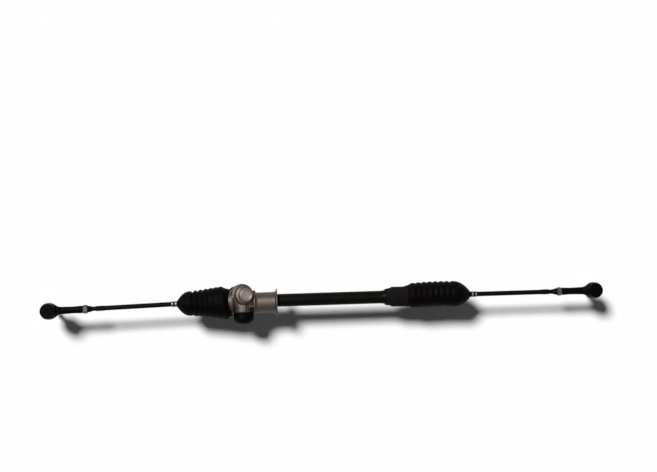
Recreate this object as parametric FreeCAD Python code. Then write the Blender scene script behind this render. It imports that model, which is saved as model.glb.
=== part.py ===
import FreeCAD, Part
import math
import os

# Manual rack-and-pinion steering gear with both tie rods.
# +X runs along the rack, +Y points to the pinion's side of it, +Z away from the
# input shaft, which hangs down. The origin is the middle of the housing's clamp neck.

# Rack and its travel
RACK_R = 11.0
RACK_Y = 4.0
RACK_TRAVEL = 52.0
STOP_GAP = 0.5
RACK_PLAY = 0.5
RACK_TOOTH_COUNT = 19
TOOTH_FLAT_HEIGHT = 8.0
RACK_END_CHAMFER = 1.5

# Teeth: rack teeth lie square across the bar, so the pinion's helix equals its lean
PINION_TEETH = 6
MODULE = 2.2
PRESSURE_DEG = 25.0
PINION_LEAN_DEG = 18.0
ADDENDUM = 0.90
PINION_TIP_ADDENDUM = 0.85
PROFILE_SHIFT = 0.35
BACKLASH = 0.14
TOOTH_CLEARANCE = 0.35
FLANK_POINT_COUNT = 4
HELIX_SECTION_COUNT = 9

# Pinion shaft, as distances along its leaning axis from the middle of the mesh
PINION_X = -54.0
PINION_HALF_WIDTH = 13.0
JOURNAL_R = 6.0
BEARING_SEAT_R = 7.5
BUSH_FROM = 15.0
BUSH_LENGTH = 12.0
BUSH_OUTER_R = 9.0
BEARING_FROM = -15.0
BEARING_WIDTH = 7.0
BEARING_BALL_COUNT = 8
BALL_R = 1.9
BALL_TRACK_PLAY = 0.15
RACE_THICKNESS = 2.11
RACE_EDGE_SHARE = 0.6
RETAINER_WIDTH = 5.0
RETAINER_RIM = 3.8
RETAINER_SLOT_COUNT = 4
RETAINER_SLOT_WIDTH = 3.0
RETAINER_SLOT_DEPTH = 1.5
SEAL_WIDTH = 5.0
INPUT_TOWER_END = -38.0
DUST_CAP_GRIP = 4.5
DUST_CAP_WALL = 2.0
DUST_CAP_NECK_LENGTH = 9.0
INPUT_SHAFT_R = 7.2
SPLINE_R = 7.0
SPLINE_DEPTH = 0.55
SPLINE_TEETH = 30
SPLINE_LENGTH = 24.0
SHAFT_END = -92.0
PINCH_GROOVE_R = 5.6
PINCH_GROOVE_WIDTH = 7.0

# Housing casting
CLAMP_NECK_R = 22.7
CLAMP_NECK_LENGTH = 38.0
INNER_FLANGE_R = 28.3
INNER_FLANGE_WIDTH = 3.5
FLANGE_FILLET = 4.0
FLANGE_EDGE = 0.8
OUTER_FLANGE_R = 29.8
OUTER_FLANGE_WIDTH = 6.0
OUTER_FLANGE_RIM = 1.6
BARREL_R = 18.5
COLLAR_R = 23.5
COLLAR_FROM = -82.0
COLLAR_WIDTH = 12.0
COLLAR_SLOPE_FROM = 2.0
COLLAR_SLOPE_TO = 3.0
SPIGOT_R = 21.5
SPIGOT_LENGTH = 14.0
SPIGOT_LAND = 4.0
SPIGOT_SHOULDER = 3.0
SPIGOT_GROOVE_DEPTH = 1.2
TOWER_BASE_R = 24.4
TOWER_BASE_TOP = 15.0
TOWER_STEP_R = 19.5
TOWER_STEP_TOP = 29.0
TOWER_NOSE_R = 14.6
TOWER_TOP = 41.0
TOWER_BULGE = 0.6
TOWER_MOUTH_CHAMFER = 2.0
INPUT_TOWER_WALL = 4.0
EDGE_ROUND = 2.5
CAST_EDGE = 1.0
CAVITY_CLEARANCE = 0.6

# Webs of the casting
RIB_THICKNESS = 3.0
RIB_OVERLAP = 1.0
RIB_CHAMFER = 3.0
UPRIGHT_RIB_OFFSET = 4.0
UPRIGHT_RIB_RISE = 1.6
UPPER_RIB_HEIGHT = 6.0
UPPER_RIB_REACH = 19.5
LOWER_RIB_DROP = 12.0
LOWER_RIB_REACH = 17.0
TOP_RIB_RISE = 8.0
TOP_RIB_DROP = 4.0

# End cap pressed in the tower's face
END_CAP_R = 11.8
END_CAP_THICKNESS = 5.0
END_CAP_DISH = 1.2

# Rack guide and its barrel
GUIDE_X = -49.0
GUIDE_R = 12.5
GUIDE_BARREL_R = 20.5
GUIDE_BARREL_END = -20.0
GUIDE_SPIGOT_R = 19.4
GUIDE_SPIGOT_LENGTH = 7.0
GUIDE_LENGTH = 15.0
GUIDE_WRAP_DEG = 55.0
LINER_THICKNESS = 0.8
LINER_WIDTH = 18.0
PLUG_R = 13.5
PLUG_LENGTH = 13.0
PLUG_HEX = 14.0
LOCK_NUT_FLATS = 32.0
LOCK_NUT_THICKNESS = 5.0
SPRING_R = 6.6
SPRING_WIRE = 2.0
SPRING_TURN_COUNT = 3
SPRING_POCKET = 6.0
SPRING_PLAY = 0.4
COVER_R = 21.5
COVER_LENGTH = 25.0
COVER_TIP_R = 12.0
COVER_WALL = 1.6

# Steel tube with its widened far end
TUBE_CLEARANCE = 0.6
TUBE_WALL = 2.4
TUBE_INSERT = 30.0
RACK_BUSH_WALL = 4.1
FLARE_FROM = 250.0
FLARE_LENGTH = 22.0
RACK_BUSH_LENGTH = 26.0
RACK_BUSH_SETBACK = 3.0
TUBE_END_LIP = 1.0

# Inner ball joints, as distances outwards from each ball's centre
LEFT_BALL_X = -163.0
RIGHT_BALL_X = 424.0
INNER_BALL_R = 12.0
INNER_SEAT_THICKNESS = 2.2
INNER_SEAT_OPEN_DEG = 50.0
SOCKET_WALL = 3.3
SOCKET_BACK = 22.0
SOCKET_MOUTH = 12.0
SOCKET_MOUTH_DEG = 50.0
SOCKET_MOUTH_FLARE = 2.3
SOCKET_LIP_WALL = 1.0
SOCKET_STEM_R = 7.0
SOCKET_STEM_LENGTH = 20.0
SOCKET_FLAT_CUT = 2.0
SOCKET_FLAT_LENGTH = 9.0
LOCK_WASHER_STEP = 1.1
LOCK_WASHER_THICKNESS = 1.5
LOCK_TAB_WIDTH = 9.0
LOCK_TAB_LENGTH = 5.0

# Tie rods
LEFT_ROD_DROOP_DEG = 1.5
ROD_SPAN = 307.0
ROD_NECK_R = 5.1
ROD_R = 5.15
ROD_GRIP_R = 5.6
ROD_GRIP_FLATS = 9.0
GRIP_TO_OUTER_BALL = 119.0
ROD_GRIP_LENGTH = 16.0
ROD_THREAD_R = 4.7
THREAD_TO_OUTER_BALL = 35.0
JAM_NUT_FLATS = 16.0
JAM_NUT_THICKNESS = 9.0
NUT_COLLAR_LENGTH = 10.0
NUT_COLLAR_STEP = 0.4
NUT_COLLAR_TIP_WALL = 0.8

# Tie-rod ends, as distances from each outer ball's centre
SHANK_END = 75.0
SHANK_BELL_R = 8.15
SHANK_BELL_LENGTH = 8.0
SHANK_WAIST_R = 7.6
SHANK_WAIST_LENGTH = 13.0
SHANK_SLOPE = 7.0
SHANK_ROOT_R = 8.8
SHANK_ROOT_LENGTH = 14.0
SHANK_EDGE = 0.8
SHANK_BORE_END = 33.0
HEAD_WALL = 4.6
HEAD_FOOT = 1.6
HEAD_ROLL_WALL = 1.0
HEAD_EDGE = 1.6
GROOVE_LIP = 0.7
GROOVE_LIP_WIDTH = 1.6
GROOVE_WIDTH = 2.6
FLARE_HALF_THICKNESS = 9.0
HEAD_FLARE_END = 29.0
GROOVE_WALL = 1.5
OUTER_BALL_R = 11.3
OUTER_SEAT_THICKNESS = 2.1
OUTER_SEAT_OPEN_DEG = 38.0
OUTER_MOUTH_DEG = 53.0
OUTER_MOUTH_FLARE = 2.3
END_PLUG_LEDGE = 0.5
END_PLUG_GAP = 0.2
END_PLUG_THICKNESS = 1.6
HEAD_ROLL = 0.8
STUD_NECK_R = 6.5
STUD_NECK_REST = 2.5
STUD_TAPER_TOP_R = 7.0
STUD_TAPER_LENGTH = 17.0
STUD_TAPER_END_R = 5.9
STUD_THREAD_R = 5.0
STUD_THREAD_LENGTH = 16.0
STUD_GROOVE = 1.5
DUST_BOOT_SWELL = 1.7
DUST_BOOT_HEIGHT = 11.5
DUST_BOOT_WALL = 1.5
DUST_BOOT_GRIP = 2.2
DUST_RING_WIRE = 0.8
DUST_RING_PLACE = 2.4

# Bellows, as places along X and radii of the crests
LEFT_BOOT_CREST_FROM = -97.0
LEFT_BOOT_CREST_TO = -164.0
LEFT_BOOT_FOLD_COUNT = 7
LEFT_BOOT_BIG_R = 34.4
LEFT_BOOT_SMALL_R = 26.8
RIGHT_BOOT_CUFF_FROM = 275.0
RIGHT_BOOT_CUFF_LENGTH = 28.0
RIGHT_BOOT_CREST_FROM = 324.0
RIGHT_BOOT_CREST_TO = 413.0
RIGHT_BOOT_FOLD_COUNT = 8
RIGHT_BOOT_BIG_R = 27.6
RIGHT_BOOT_SMALL_R = 28.0
LEFT_CUFF_LENGTH = 9.0
LEFT_CUFF_WALL = 3.4
RIGHT_CUFF_WALL = 1.8
FOLD_DEPTH = 2.6
BOOT_DOME = 30.0
DOME_POWER = 2.2
DOME_POINT_COUNT = 4
BOOT_WALL = 1.8
BOOT_NOZZLE_LENGTH = 12.0
BOOT_NOZZLE_WALL = 1.7
BAND_THICKNESS = 0.8
BAND_WIDTH = 6.0
BAND_SCREW_HEIGHT = 4.0
BAND_SCREW_LENGTH = 11.0
BAND_SCREW_TURN_DEG = 45.0
CLIP_LENGTH = 11.0
CLIP_SETBACK = 0.8
CLIP_RING_WIDTH = 3.8
CLIP_THICKNESS = 1.0
CLIP_EAR_HEIGHT = 3.4
CLIP_EAR_SPREAD = 3.2

# Fits and gaps
RUNNING_FIT = 0.05
SOFT_GAP = 0.3
SEAL_GAP = 0.1
BAND_FIT = 0.05

# Values worked out from the dimensions above
X_DIR = FreeCAD.Vector(1, 0, 0)
Y_DIR = FreeCAD.Vector(0, 1, 0)
Z_DIR = FreeCAD.Vector(0, 0, 1)
ORIGIN = FreeCAD.Vector(0, 0, 0)
RACK_CENTRE = FreeCAD.Vector(0, RACK_Y, 0)

LEAN = math.radians(PINION_LEAN_DEG)
PRESSURE = math.radians(PRESSURE_DEG)
RACK_PITCH = math.pi * MODULE
REFERENCE_HEIGHT = TOOTH_FLAT_HEIGHT - ADDENDUM * MODULE
PITCH_R = PINION_TEETH * MODULE / (2 * math.cos(LEAN))
CENTRE_HEIGHT = REFERENCE_HEIGHT + PROFILE_SHIFT * MODULE + PITCH_R
PINION_TIP_R = PITCH_R + (PINION_TIP_ADDENDUM + PROFILE_SHIFT) * MODULE
PINION_ROOT_R = CENTRE_HEIGHT - TOOTH_FLAT_HEIGHT - TOOTH_CLEARANCE
RACK_ROOT_HEIGHT = CENTRE_HEIGHT - PINION_TIP_R - TOOTH_CLEARANCE
TRANSVERSE_PRESSURE = math.atan(math.tan(PRESSURE) / math.cos(LEAN))
PINION_BASE_R = PITCH_R * math.cos(TRANSVERSE_PRESSURE)
PINION_AXIS = FreeCAD.Vector(math.sin(LEAN), 0, math.cos(LEAN))
PINION_CENTRE = FreeCAD.Vector(PINION_X, RACK_Y + CENTRE_HEIGHT, 0)

COLLAR_TO = COLLAR_FROM + COLLAR_WIDTH
SPIGOT_END = COLLAR_FROM - SPIGOT_LENGTH
NECK_END = CLAMP_NECK_LENGTH / 2
OUTER_FLANGE_END = NECK_END + OUTER_FLANGE_WIDTH
FLANGE_ROOT = -NECK_END - FLANGE_FILLET
INNER_FLANGE_FROM = FLANGE_ROOT - INNER_FLANGE_WIDTH
RACK_LEFT_END = LEFT_BALL_X + SOCKET_BACK + LOCK_WASHER_THICKNESS
RACK_RIGHT_END = RIGHT_BALL_X - SOCKET_BACK - LOCK_WASHER_THICKNESS
ROD_GRIP_FROM = ROD_SPAN - GRIP_TO_OUTER_BALL
ROD_THREAD_END = ROD_SPAN - THREAD_TO_OUTER_BALL
LEFT_STOP = RACK_LEFT_END + RACK_TRAVEL + STOP_GAP
TUBE_END = RACK_RIGHT_END - RACK_TRAVEL - STOP_GAP
TUBE_START = OUTER_FLANGE_END - TUBE_INSERT
TUBE_BORE_R = RACK_R + TUBE_CLEARANCE
TUBE_R = TUBE_BORE_R + TUBE_WALL
WIDE_BORE_R = RACK_R + RACK_BUSH_WALL
TUBE_WIDE_R = WIDE_BORE_R + TUBE_WALL
INNER_SEAT_R = INNER_BALL_R + INNER_SEAT_THICKNESS
SOCKET_R = INNER_SEAT_R + SOCKET_WALL
SOCKET_LIP_R = INNER_SEAT_R + SOCKET_LIP_WALL
SOCKET_FLATS = 2 * (SOCKET_R - SOCKET_FLAT_CUT)
LOCK_WASHER_R = SOCKET_R - LOCK_WASHER_STEP
STOP_BORE_R = SOCKET_R + RACK_PLAY
OUTER_SEAT_R = OUTER_BALL_R + OUTER_SEAT_THICKNESS
HEAD_R = OUTER_SEAT_R + HEAD_WALL
HEAD_BOTTOM = -OUTER_SEAT_R - HEAD_FOOT
HEAD_TOP = OUTER_SEAT_R + END_PLUG_GAP + END_PLUG_THICKNESS + HEAD_ROLL
BOOT_GROOVE_R = OUTER_SEAT_R + GROOVE_WALL
END_PLUG_R = OUTER_SEAT_R + END_PLUG_LEDGE
HEAD_CROWN_R = END_PLUG_R + HEAD_ROLL_WALL
DUST_BOOT_R = BOOT_GROOVE_R + DUST_BOOT_SWELL
DUST_BOOT_LIP = HEAD_BOTTOM - DUST_BOOT_HEIGHT
STUD_TAPER_FROM = DUST_BOOT_LIP - STUD_NECK_REST
RACE_STEP = RACE_EDGE_SHARE * BALL_R
BALL_TRACK_R = BEARING_SEAT_R + RACE_THICKNESS + RACE_STEP
BEARING_OUTER_R = BALL_TRACK_R + RACE_STEP + RACE_THICKNESS
BEARING_MIDDLE = BEARING_FROM - BEARING_WIDTH / 2
TRACK_R = BALL_R + BALL_TRACK_PLAY
INPUT_TOWER_R = BEARING_OUTER_R + INPUT_TOWER_WALL
RETAINER_FROM = BEARING_FROM - BEARING_WIDTH
SEAL_FROM = RETAINER_FROM - RETAINER_WIDTH
END_CAP_FROM = TOWER_TOP - END_CAP_THICKNESS
GUIDE_BARREL_FOOT = GUIDE_BARREL_END - GUIDE_SPIGOT_LENGTH
PLUG_TOP = GUIDE_BARREL_FOOT + PLUG_LENGTH - LOCK_NUT_THICKNESS - 1.0
GUIDE_TOP = RACK_Y - (RACK_R + LINER_THICKNESS) * math.cos(math.radians(GUIDE_WRAP_DEG))
GUIDE_BOTTOM = RACK_Y - RACK_R - LINER_THICKNESS - GUIDE_LENGTH * 0.5
LEFT_CUFF_MIDDLE = COLLAR_FROM - 0.5 - LEFT_CUFF_LENGTH / 2


def outline_wire(start, steps):
    """Closed wire in the XY plane from a first point, line ends and (via, end) arcs."""
    here = FreeCAD.Vector(start[0], start[1], 0)
    first = here
    edges = []
    for step in steps:
        if isinstance(step[0], tuple):
            via = FreeCAD.Vector(step[0][0], step[0][1], 0)
            end = FreeCAD.Vector(step[1][0], step[1][1], 0)
            edges.append(Part.Arc(here, via, end).toShape())
        else:
            end = FreeCAD.Vector(step[0], step[1], 0)
            edges.append(Part.makeLine(here, end))
        here = end
    if here.distanceToPoint(first) > 1e-6:
        edges.append(Part.makeLine(here, first))
    return Part.Wire(edges)


def direction_turn(along):
    """Rotation that takes +X to the given direction."""
    return FreeCAD.Rotation(X_DIR, along)


def turned(start, steps, at=ORIGIN, along=X_DIR):
    """Solid of revolution: the outline's first numbers run along the axis, the second are radii."""
    face = Part.Face(outline_wire(start, steps))
    solid = face.revolve(ORIGIN, X_DIR, 360)
    solid.Placement = FreeCAD.Placement(at, direction_turn(along))
    return solid


def rod(radius, start, end, at=ORIGIN, along=X_DIR):
    """Cylinder between two distances along an axis."""
    low = min(start, end)
    return Part.makeCylinder(radius, abs(end - start), at + along * low, along)


def ring(outer, inner, start, end, at=ORIGIN, along=X_DIR):
    """Tube between two distances along an axis."""
    return rod(outer, start, end, at, along).cut(rod(inner, start, end, at, along))


def hexagon(flats, start, end, at=ORIGIN, along=X_DIR):
    """Hexagonal prism between two distances along an axis."""
    corner = flats / math.sqrt(3)
    points = []
    for index in range(7):
        angle = math.radians(60 * index)
        points.append(FreeCAD.Vector(start, corner * math.cos(angle), corner * math.sin(angle)))
    prism = Part.Face(Part.makePolygon(points)).extrude(FreeCAD.Vector(end - start, 0, 0))
    prism.Placement = FreeCAD.Placement(at, direction_turn(along))
    return prism


def nut(flats, bore, start, end, at=ORIGIN, along=X_DIR):
    """Hexagon nut whose corners are cut back by a cone at both faces."""
    corner = flats / math.sqrt(3)
    chamfer = corner - flats / 2
    steps = [
        (start, flats / 2 + 0.1 * chamfer),
        (start + chamfer, corner),
        (end - chamfer, corner),
        (end, flats / 2 + 0.1 * chamfer),
        (end, 0),
    ]
    body = hexagon(flats, start, end).common(turned((start, 0), steps))
    body = body.cut(rod(bore, start, end))
    body.Placement = FreeCAD.Placement(at, direction_turn(along))
    return body


def ball_segment(radius, flat_angle_deg):
    """Point on a circle of the given radius at an angle from the +X axis."""
    angle = math.radians(flat_angle_deg)
    return (radius * math.cos(angle), radius * math.sin(angle))


def moved(shape, placement):
    """Copy of a shape carried by a placement."""
    copy = shape.copy()
    copy.Placement = placement.multiply(copy.Placement)
    return copy


def save(node, shape):
    """Writes one named piece and prints its volume."""
    shape = shape.removeSplitter()
    if len(shape.Solids) == 1:
        shape = shape.Solids[0]
    shape.exportStep("parts/" + node + ".step")
    print(f"{node:24s} solids {len(shape.Solids)}  volume {shape.Volume:10.1f}  valid {shape.isValid()}")


# Housing casting

def housing_barrel():
    """Spigot, collar and barrel round the rack, left of the clamp neck."""
    groove = SPIGOT_R - SPIGOT_GROOVE_DEPTH
    steps = [
        (SPIGOT_END, SPIGOT_R - CAST_EDGE),
        (SPIGOT_END + CAST_EDGE, SPIGOT_R),
        (SPIGOT_END + SPIGOT_LAND, SPIGOT_R),
        (SPIGOT_END + SPIGOT_LAND, groove),
        (COLLAR_FROM - SPIGOT_SHOULDER, groove),
        (COLLAR_FROM, SPIGOT_R),
        (COLLAR_FROM, COLLAR_R - CAST_EDGE),
        (COLLAR_FROM + CAST_EDGE, COLLAR_R),
        (COLLAR_TO - COLLAR_SLOPE_FROM, COLLAR_R),
        (COLLAR_TO + COLLAR_SLOPE_TO, BARREL_R),
        (INNER_FLANGE_FROM, BARREL_R),
        (INNER_FLANGE_FROM, 0),
    ]
    return turned((SPIGOT_END, 0), steps, RACK_CENTRE)


def housing_neck():
    """Clamp neck between its two flanges."""
    rim = OUTER_FLANGE_RIM
    steps = [
        (INNER_FLANGE_FROM, INNER_FLANGE_R - FLANGE_EDGE),
        (INNER_FLANGE_FROM + FLANGE_EDGE, INNER_FLANGE_R),
        (FLANGE_ROOT, INNER_FLANGE_R),
        ((FLANGE_ROOT + 0.3 * FLANGE_FILLET, CLAMP_NECK_R + 0.35 * FLANGE_FILLET),
         (-NECK_END, CLAMP_NECK_R)),
        (NECK_END - 1, CLAMP_NECK_R),
        ((NECK_END + rim, CLAMP_NECK_R + rim), (NECK_END + 2 * rim, OUTER_FLANGE_R - rim)),
        ((NECK_END + 2.6 * rim, OUTER_FLANGE_R), (OUTER_FLANGE_END, OUTER_FLANGE_R - rim)),
        (OUTER_FLANGE_END, 0),
    ]
    return turned((INNER_FLANGE_FROM, 0), steps)


def pinion_tower():
    """Stepped tower on the pinion's leaning axis, closed to +Z and open at the input side."""
    base = TOWER_BASE_R
    steps = [
        (INPUT_TOWER_END, INPUT_TOWER_R - TOWER_MOUTH_CHAMFER),
        (INPUT_TOWER_END + TOWER_MOUTH_CHAMFER, INPUT_TOWER_R),
        (BEARING_FROM, INPUT_TOWER_R),
        ((0, base - TOWER_BULGE), (TOWER_BASE_TOP - EDGE_ROUND, base)),
        ((TOWER_BASE_TOP - 0.3 * EDGE_ROUND, base - 0.3 * EDGE_ROUND), (TOWER_BASE_TOP, base - EDGE_ROUND)),
        (TOWER_BASE_TOP, TOWER_STEP_R + CAST_EDGE),
        (TOWER_BASE_TOP + CAST_EDGE, TOWER_STEP_R),
        (TOWER_STEP_TOP - EDGE_ROUND, TOWER_STEP_R),
        ((TOWER_STEP_TOP - 0.3 * EDGE_ROUND, TOWER_STEP_R - 0.3 * EDGE_ROUND),
         (TOWER_STEP_TOP, TOWER_STEP_R - EDGE_ROUND)),
        (TOWER_STEP_TOP, TOWER_NOSE_R + CAST_EDGE),
        (TOWER_STEP_TOP + CAST_EDGE, TOWER_NOSE_R),
        (TOWER_TOP - CAST_EDGE, TOWER_NOSE_R - 0.4 * CAST_EDGE),
        (TOWER_TOP, TOWER_NOSE_R - 1.4 * CAST_EDGE),
        (TOWER_TOP, 0),
    ]
    return turned((INPUT_TOWER_END, 0), steps, PINION_CENTRE, PINION_AXIS)


def guide_barrel():
    """Barrel that holds the rack guide, pointing to -Y."""
    at = FreeCAD.Vector(GUIDE_X, 0, 0)
    steps = [
        (RACK_Y, GUIDE_BARREL_R),
        (-GUIDE_BARREL_END - CAST_EDGE, GUIDE_BARREL_R),
        (-GUIDE_BARREL_END, GUIDE_BARREL_R - CAST_EDGE),
        (-GUIDE_BARREL_END, GUIDE_SPIGOT_R),
        (-GUIDE_BARREL_FOOT - CAST_EDGE, GUIDE_SPIGOT_R),
        (-GUIDE_BARREL_FOOT, GUIDE_SPIGOT_R - CAST_EDGE),
        (-GUIDE_BARREL_FOOT, 0),
    ]
    return turned((RACK_Y, 0), steps, at, Y_DIR * -1)


def rib(corners, thickness, across, centre):
    """Flat web: a polygon of corners spread by a thickness along one axis."""
    points = [corner - across * (thickness / 2) for corner in corners]
    web = Part.Face(Part.makePolygon(points + [points[0]])).extrude(across * thickness)
    web.translate(centre)
    return web


def housing_ribs():
    """Webs between tower, guide barrel and clamp flange."""
    webs = []
    tower_foot = FreeCAD.Vector(GUIDE_X + UPRIGHT_RIB_OFFSET, 0, 0)
    barrel_face = GUIDE_BARREL_R + UPRIGHT_RIB_RISE
    rib_foot = GUIDE_BARREL_END + CAST_EDGE
    upright = [
        FreeCAD.Vector(0, RACK_Y, 0),
        FreeCAD.Vector(0, RACK_Y, barrel_face),
        FreeCAD.Vector(0, rib_foot + 0.7 * RIB_CHAMFER, barrel_face),
        FreeCAD.Vector(0, rib_foot, barrel_face - RIB_CHAMFER),
        FreeCAD.Vector(0, rib_foot, 0),
    ]
    webs.append(rib(upright, RIB_THICKNESS, X_DIR, tower_foot))
    flange_x = INNER_FLANGE_FROM + RIB_OVERLAP
    tower_x = PINION_X + TOWER_BASE_R * 0.6
    for height, reach in ((UPPER_RIB_HEIGHT, UPPER_RIB_REACH), (-LOWER_RIB_DROP, LOWER_RIB_REACH)):
        level = [
            FreeCAD.Vector(tower_x, 0, 0),
            FreeCAD.Vector(tower_x, 0, reach),
            FreeCAD.Vector(flange_x, 0, reach - CAST_EDGE),
            FreeCAD.Vector(flange_x, 0, 0),
        ]
        webs.append(rib(level, RIB_THICKNESS, Y_DIR, FreeCAD.Vector(0, RACK_Y + height, 0)))
    top = [
        FreeCAD.Vector(tower_x, RACK_Y, 0),
        FreeCAD.Vector(tower_x, RACK_Y + CENTRE_HEIGHT + TOP_RIB_RISE, 0),
        FreeCAD.Vector(flange_x, INNER_FLANGE_R - TOP_RIB_DROP, 0),
        FreeCAD.Vector(flange_x, RACK_Y, 0),
    ]
    webs.append(rib(top, 1.3 * RIB_THICKNESS, Z_DIR, ORIGIN))
    return webs


def housing_hollows():
    """Everything bored out of the casting."""
    cuts = []
    cuts.append(rod(RACK_R + RACK_PLAY, SPIGOT_END - 1, TUBE_START + 1, RACK_CENTRE))
    cuts.append(rod(STOP_BORE_R, SPIGOT_END - 1, LEFT_STOP, RACK_CENTRE))
    cuts.append(rod(TUBE_R, TUBE_START, OUTER_FLANGE_END + 1, RACK_CENTRE))
    cavity = PINION_TIP_R + CAVITY_CLEARANCE
    cuts.append(rod(cavity, BEARING_FROM - 1, BUSH_FROM, PINION_CENTRE, PINION_AXIS))
    cuts.append(rod(BUSH_OUTER_R, BUSH_FROM - 1, BUSH_FROM + BUSH_LENGTH, PINION_CENTRE, PINION_AXIS))
    cuts.append(rod(BUSH_OUTER_R - 1, BUSH_FROM, END_CAP_FROM + 1, PINION_CENTRE, PINION_AXIS))
    cuts.append(rod(END_CAP_R, END_CAP_FROM, TOWER_TOP + 1, PINION_CENTRE, PINION_AXIS))
    cuts.append(rod(BEARING_OUTER_R, BEARING_FROM, INPUT_TOWER_END - 1, PINION_CENTRE, PINION_AXIS))
    guide_at = FreeCAD.Vector(GUIDE_X, 0, 0)
    guide_bore = GUIDE_R + RUNNING_FIT
    cuts.append(rod(guide_bore, -RACK_Y, -GUIDE_BARREL_FOOT + 1, guide_at, Y_DIR * -1))
    cuts.append(rod(PLUG_R, -PLUG_TOP, -GUIDE_BARREL_FOOT + 1, guide_at, Y_DIR * -1))
    return cuts


def gear_housing():
    """The aluminium casting."""
    shells = [housing_neck(), pinion_tower(), guide_barrel()] + housing_ribs()
    casting = housing_barrel().multiFuse(shells)
    for hollow in housing_hollows():
        casting = casting.cut(hollow)
    return casting


# Rack tube

def rack_tube():
    """Steel tube pressed in the neck, flared at the far end and turned in at its lip."""
    flare_to = FLARE_FROM + FLARE_LENGTH
    third = FLARE_LENGTH / 3
    lip = WIDE_BORE_R - TUBE_END_LIP
    steps = [
        (TUBE_START, TUBE_R - 0.5),
        (TUBE_START + 0.5, TUBE_R),
        (FLARE_FROM, TUBE_R),
        ((FLARE_FROM + third, TUBE_R + 0.6), (FLARE_FROM + 2 * third, TUBE_R + 2.3)),
        ((flare_to - 0.4 * third, TUBE_WIDE_R - 0.25), (flare_to, TUBE_WIDE_R)),
        (TUBE_END - 1, TUBE_WIDE_R),
        (TUBE_END, TUBE_WIDE_R - 1),
        (TUBE_END, lip),
        (TUBE_END - RACK_BUSH_SETBACK, lip),
        (TUBE_END - RACK_BUSH_SETBACK, WIDE_BORE_R),
        (flare_to + 1, WIDE_BORE_R),
        (FLARE_FROM + 1, TUBE_BORE_R),
        (TUBE_START, TUBE_BORE_R),
    ]
    return turned((TUBE_START, TUBE_BORE_R), steps, RACK_CENTRE)


def rack_bush():
    """Split plain bush that guides the rack in the tube's far end."""
    end = TUBE_END - RACK_BUSH_SETBACK
    start = end - RACK_BUSH_LENGTH
    inner = RACK_R + RUNNING_FIT
    steps = [
        (start, WIDE_BORE_R - 0.6),
        (start + 1, WIDE_BORE_R),
        (end, WIDE_BORE_R),
        (end, inner + 0.5),
        (end - 1, inner),
        (start + 1, inner),
        (start, inner + 0.5),
    ]
    bush = turned((start, inner + 0.5), steps, RACK_CENTRE)
    slot = Part.makeBox(RACK_BUSH_LENGTH * 0.75, WIDE_BORE_R + 1, 2.0)
    slot.translate(FreeCAD.Vector(start + RACK_BUSH_LENGTH * 0.25, RACK_Y, -1.0))
    return bush.cut(slot)


# Pinion and its bearings

def involute_angle(radius):
    """Polar angle of the pinion's flank at a radius, from the middle of the tooth."""
    def involute(angle):
        return math.tan(angle) - angle
    thickness = (math.pi / 2 + 2 * PROFILE_SHIFT * math.tan(PRESSURE)) * MODULE / math.cos(LEAN)
    half_at_pitch = (thickness - BACKLASH) / (2 * PITCH_R)
    if radius <= PINION_BASE_R:
        return half_at_pitch + involute(TRANSVERSE_PRESSURE)
    local = math.acos(PINION_BASE_R / radius)
    return half_at_pitch + involute(TRANSVERSE_PRESSURE) - involute(local)


def polar(radius, angle, distance):
    """Point round the X axis at a distance along it; angle 0 points to -Y."""
    return FreeCAD.Vector(distance, -radius * math.cos(angle), radius * math.sin(angle))


def pinion_section(distance, twist):
    """Closed wire of the pinion's teeth at one distance along its axis."""
    radii = []
    for step in range(FLANK_POINT_COUNT):
        share = step / (FLANK_POINT_COUNT - 1)
        radii.append(PINION_BASE_R + share * (PINION_TIP_R - PINION_BASE_R))
    edges = []
    pitch_angle = 2 * math.pi / PINION_TEETH
    for tooth in range(PINION_TEETH):
        middle = twist + tooth * pitch_angle
        rising = [polar(r, middle - involute_angle(r), distance) for r in radii]
        falling = [polar(r, middle + involute_angle(r), distance) for r in reversed(radii)]
        root_angle = involute_angle(PINION_BASE_R)
        root_in = polar(PINION_ROOT_R, middle - root_angle, distance)
        root_out = polar(PINION_ROOT_R, middle + root_angle, distance)
        next_root = polar(PINION_ROOT_R, middle + pitch_angle - root_angle, distance)
        valley = polar(PINION_ROOT_R, middle + pitch_angle / 2, distance)
        tip = polar(PINION_TIP_R, middle, distance)
        for flank in (rising, falling):
            curve = Part.BSplineCurve()
            curve.interpolate(flank)
            edges.append(curve.toShape())
        edges.insert(-2, Part.makeLine(root_in, rising[0]))
        edges.insert(-1, Part.Arc(rising[-1], tip, falling[0]).toShape())
        edges.append(Part.makeLine(falling[-1], root_out))
        edges.append(Part.Arc(root_out, valley, next_root).toShape())
    return Part.Wire(edges)


def pinion_teeth():
    """Helical teeth, lofted through turned copies of one section."""
    wires = []
    for index in range(HELIX_SECTION_COUNT):
        distance = PINION_HALF_WIDTH * (2 * index / (HELIX_SECTION_COUNT - 1) - 1)
        twist = distance * math.tan(LEAN) / PITCH_R
        wires.append(pinion_section(distance, twist))
    teeth = Part.makeLoft(wires, True, False)
    chamfer = PINION_TIP_R - PINION_ROOT_R
    envelope = turned(
        (-PINION_HALF_WIDTH, 0),
        [
            (-PINION_HALF_WIDTH, PINION_ROOT_R + 0.4 * chamfer),
            (-PINION_HALF_WIDTH + 0.6 * chamfer, PINION_TIP_R + 0.2),
            (PINION_HALF_WIDTH - 0.6 * chamfer, PINION_TIP_R + 0.2),
            (PINION_HALF_WIDTH, PINION_ROOT_R + 0.4 * chamfer),
            (PINION_HALF_WIDTH, 0),
        ],
    )
    teeth = teeth.common(envelope)
    teeth.Placement = FreeCAD.Placement(PINION_CENTRE, direction_turn(PINION_AXIS))
    return teeth


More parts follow.
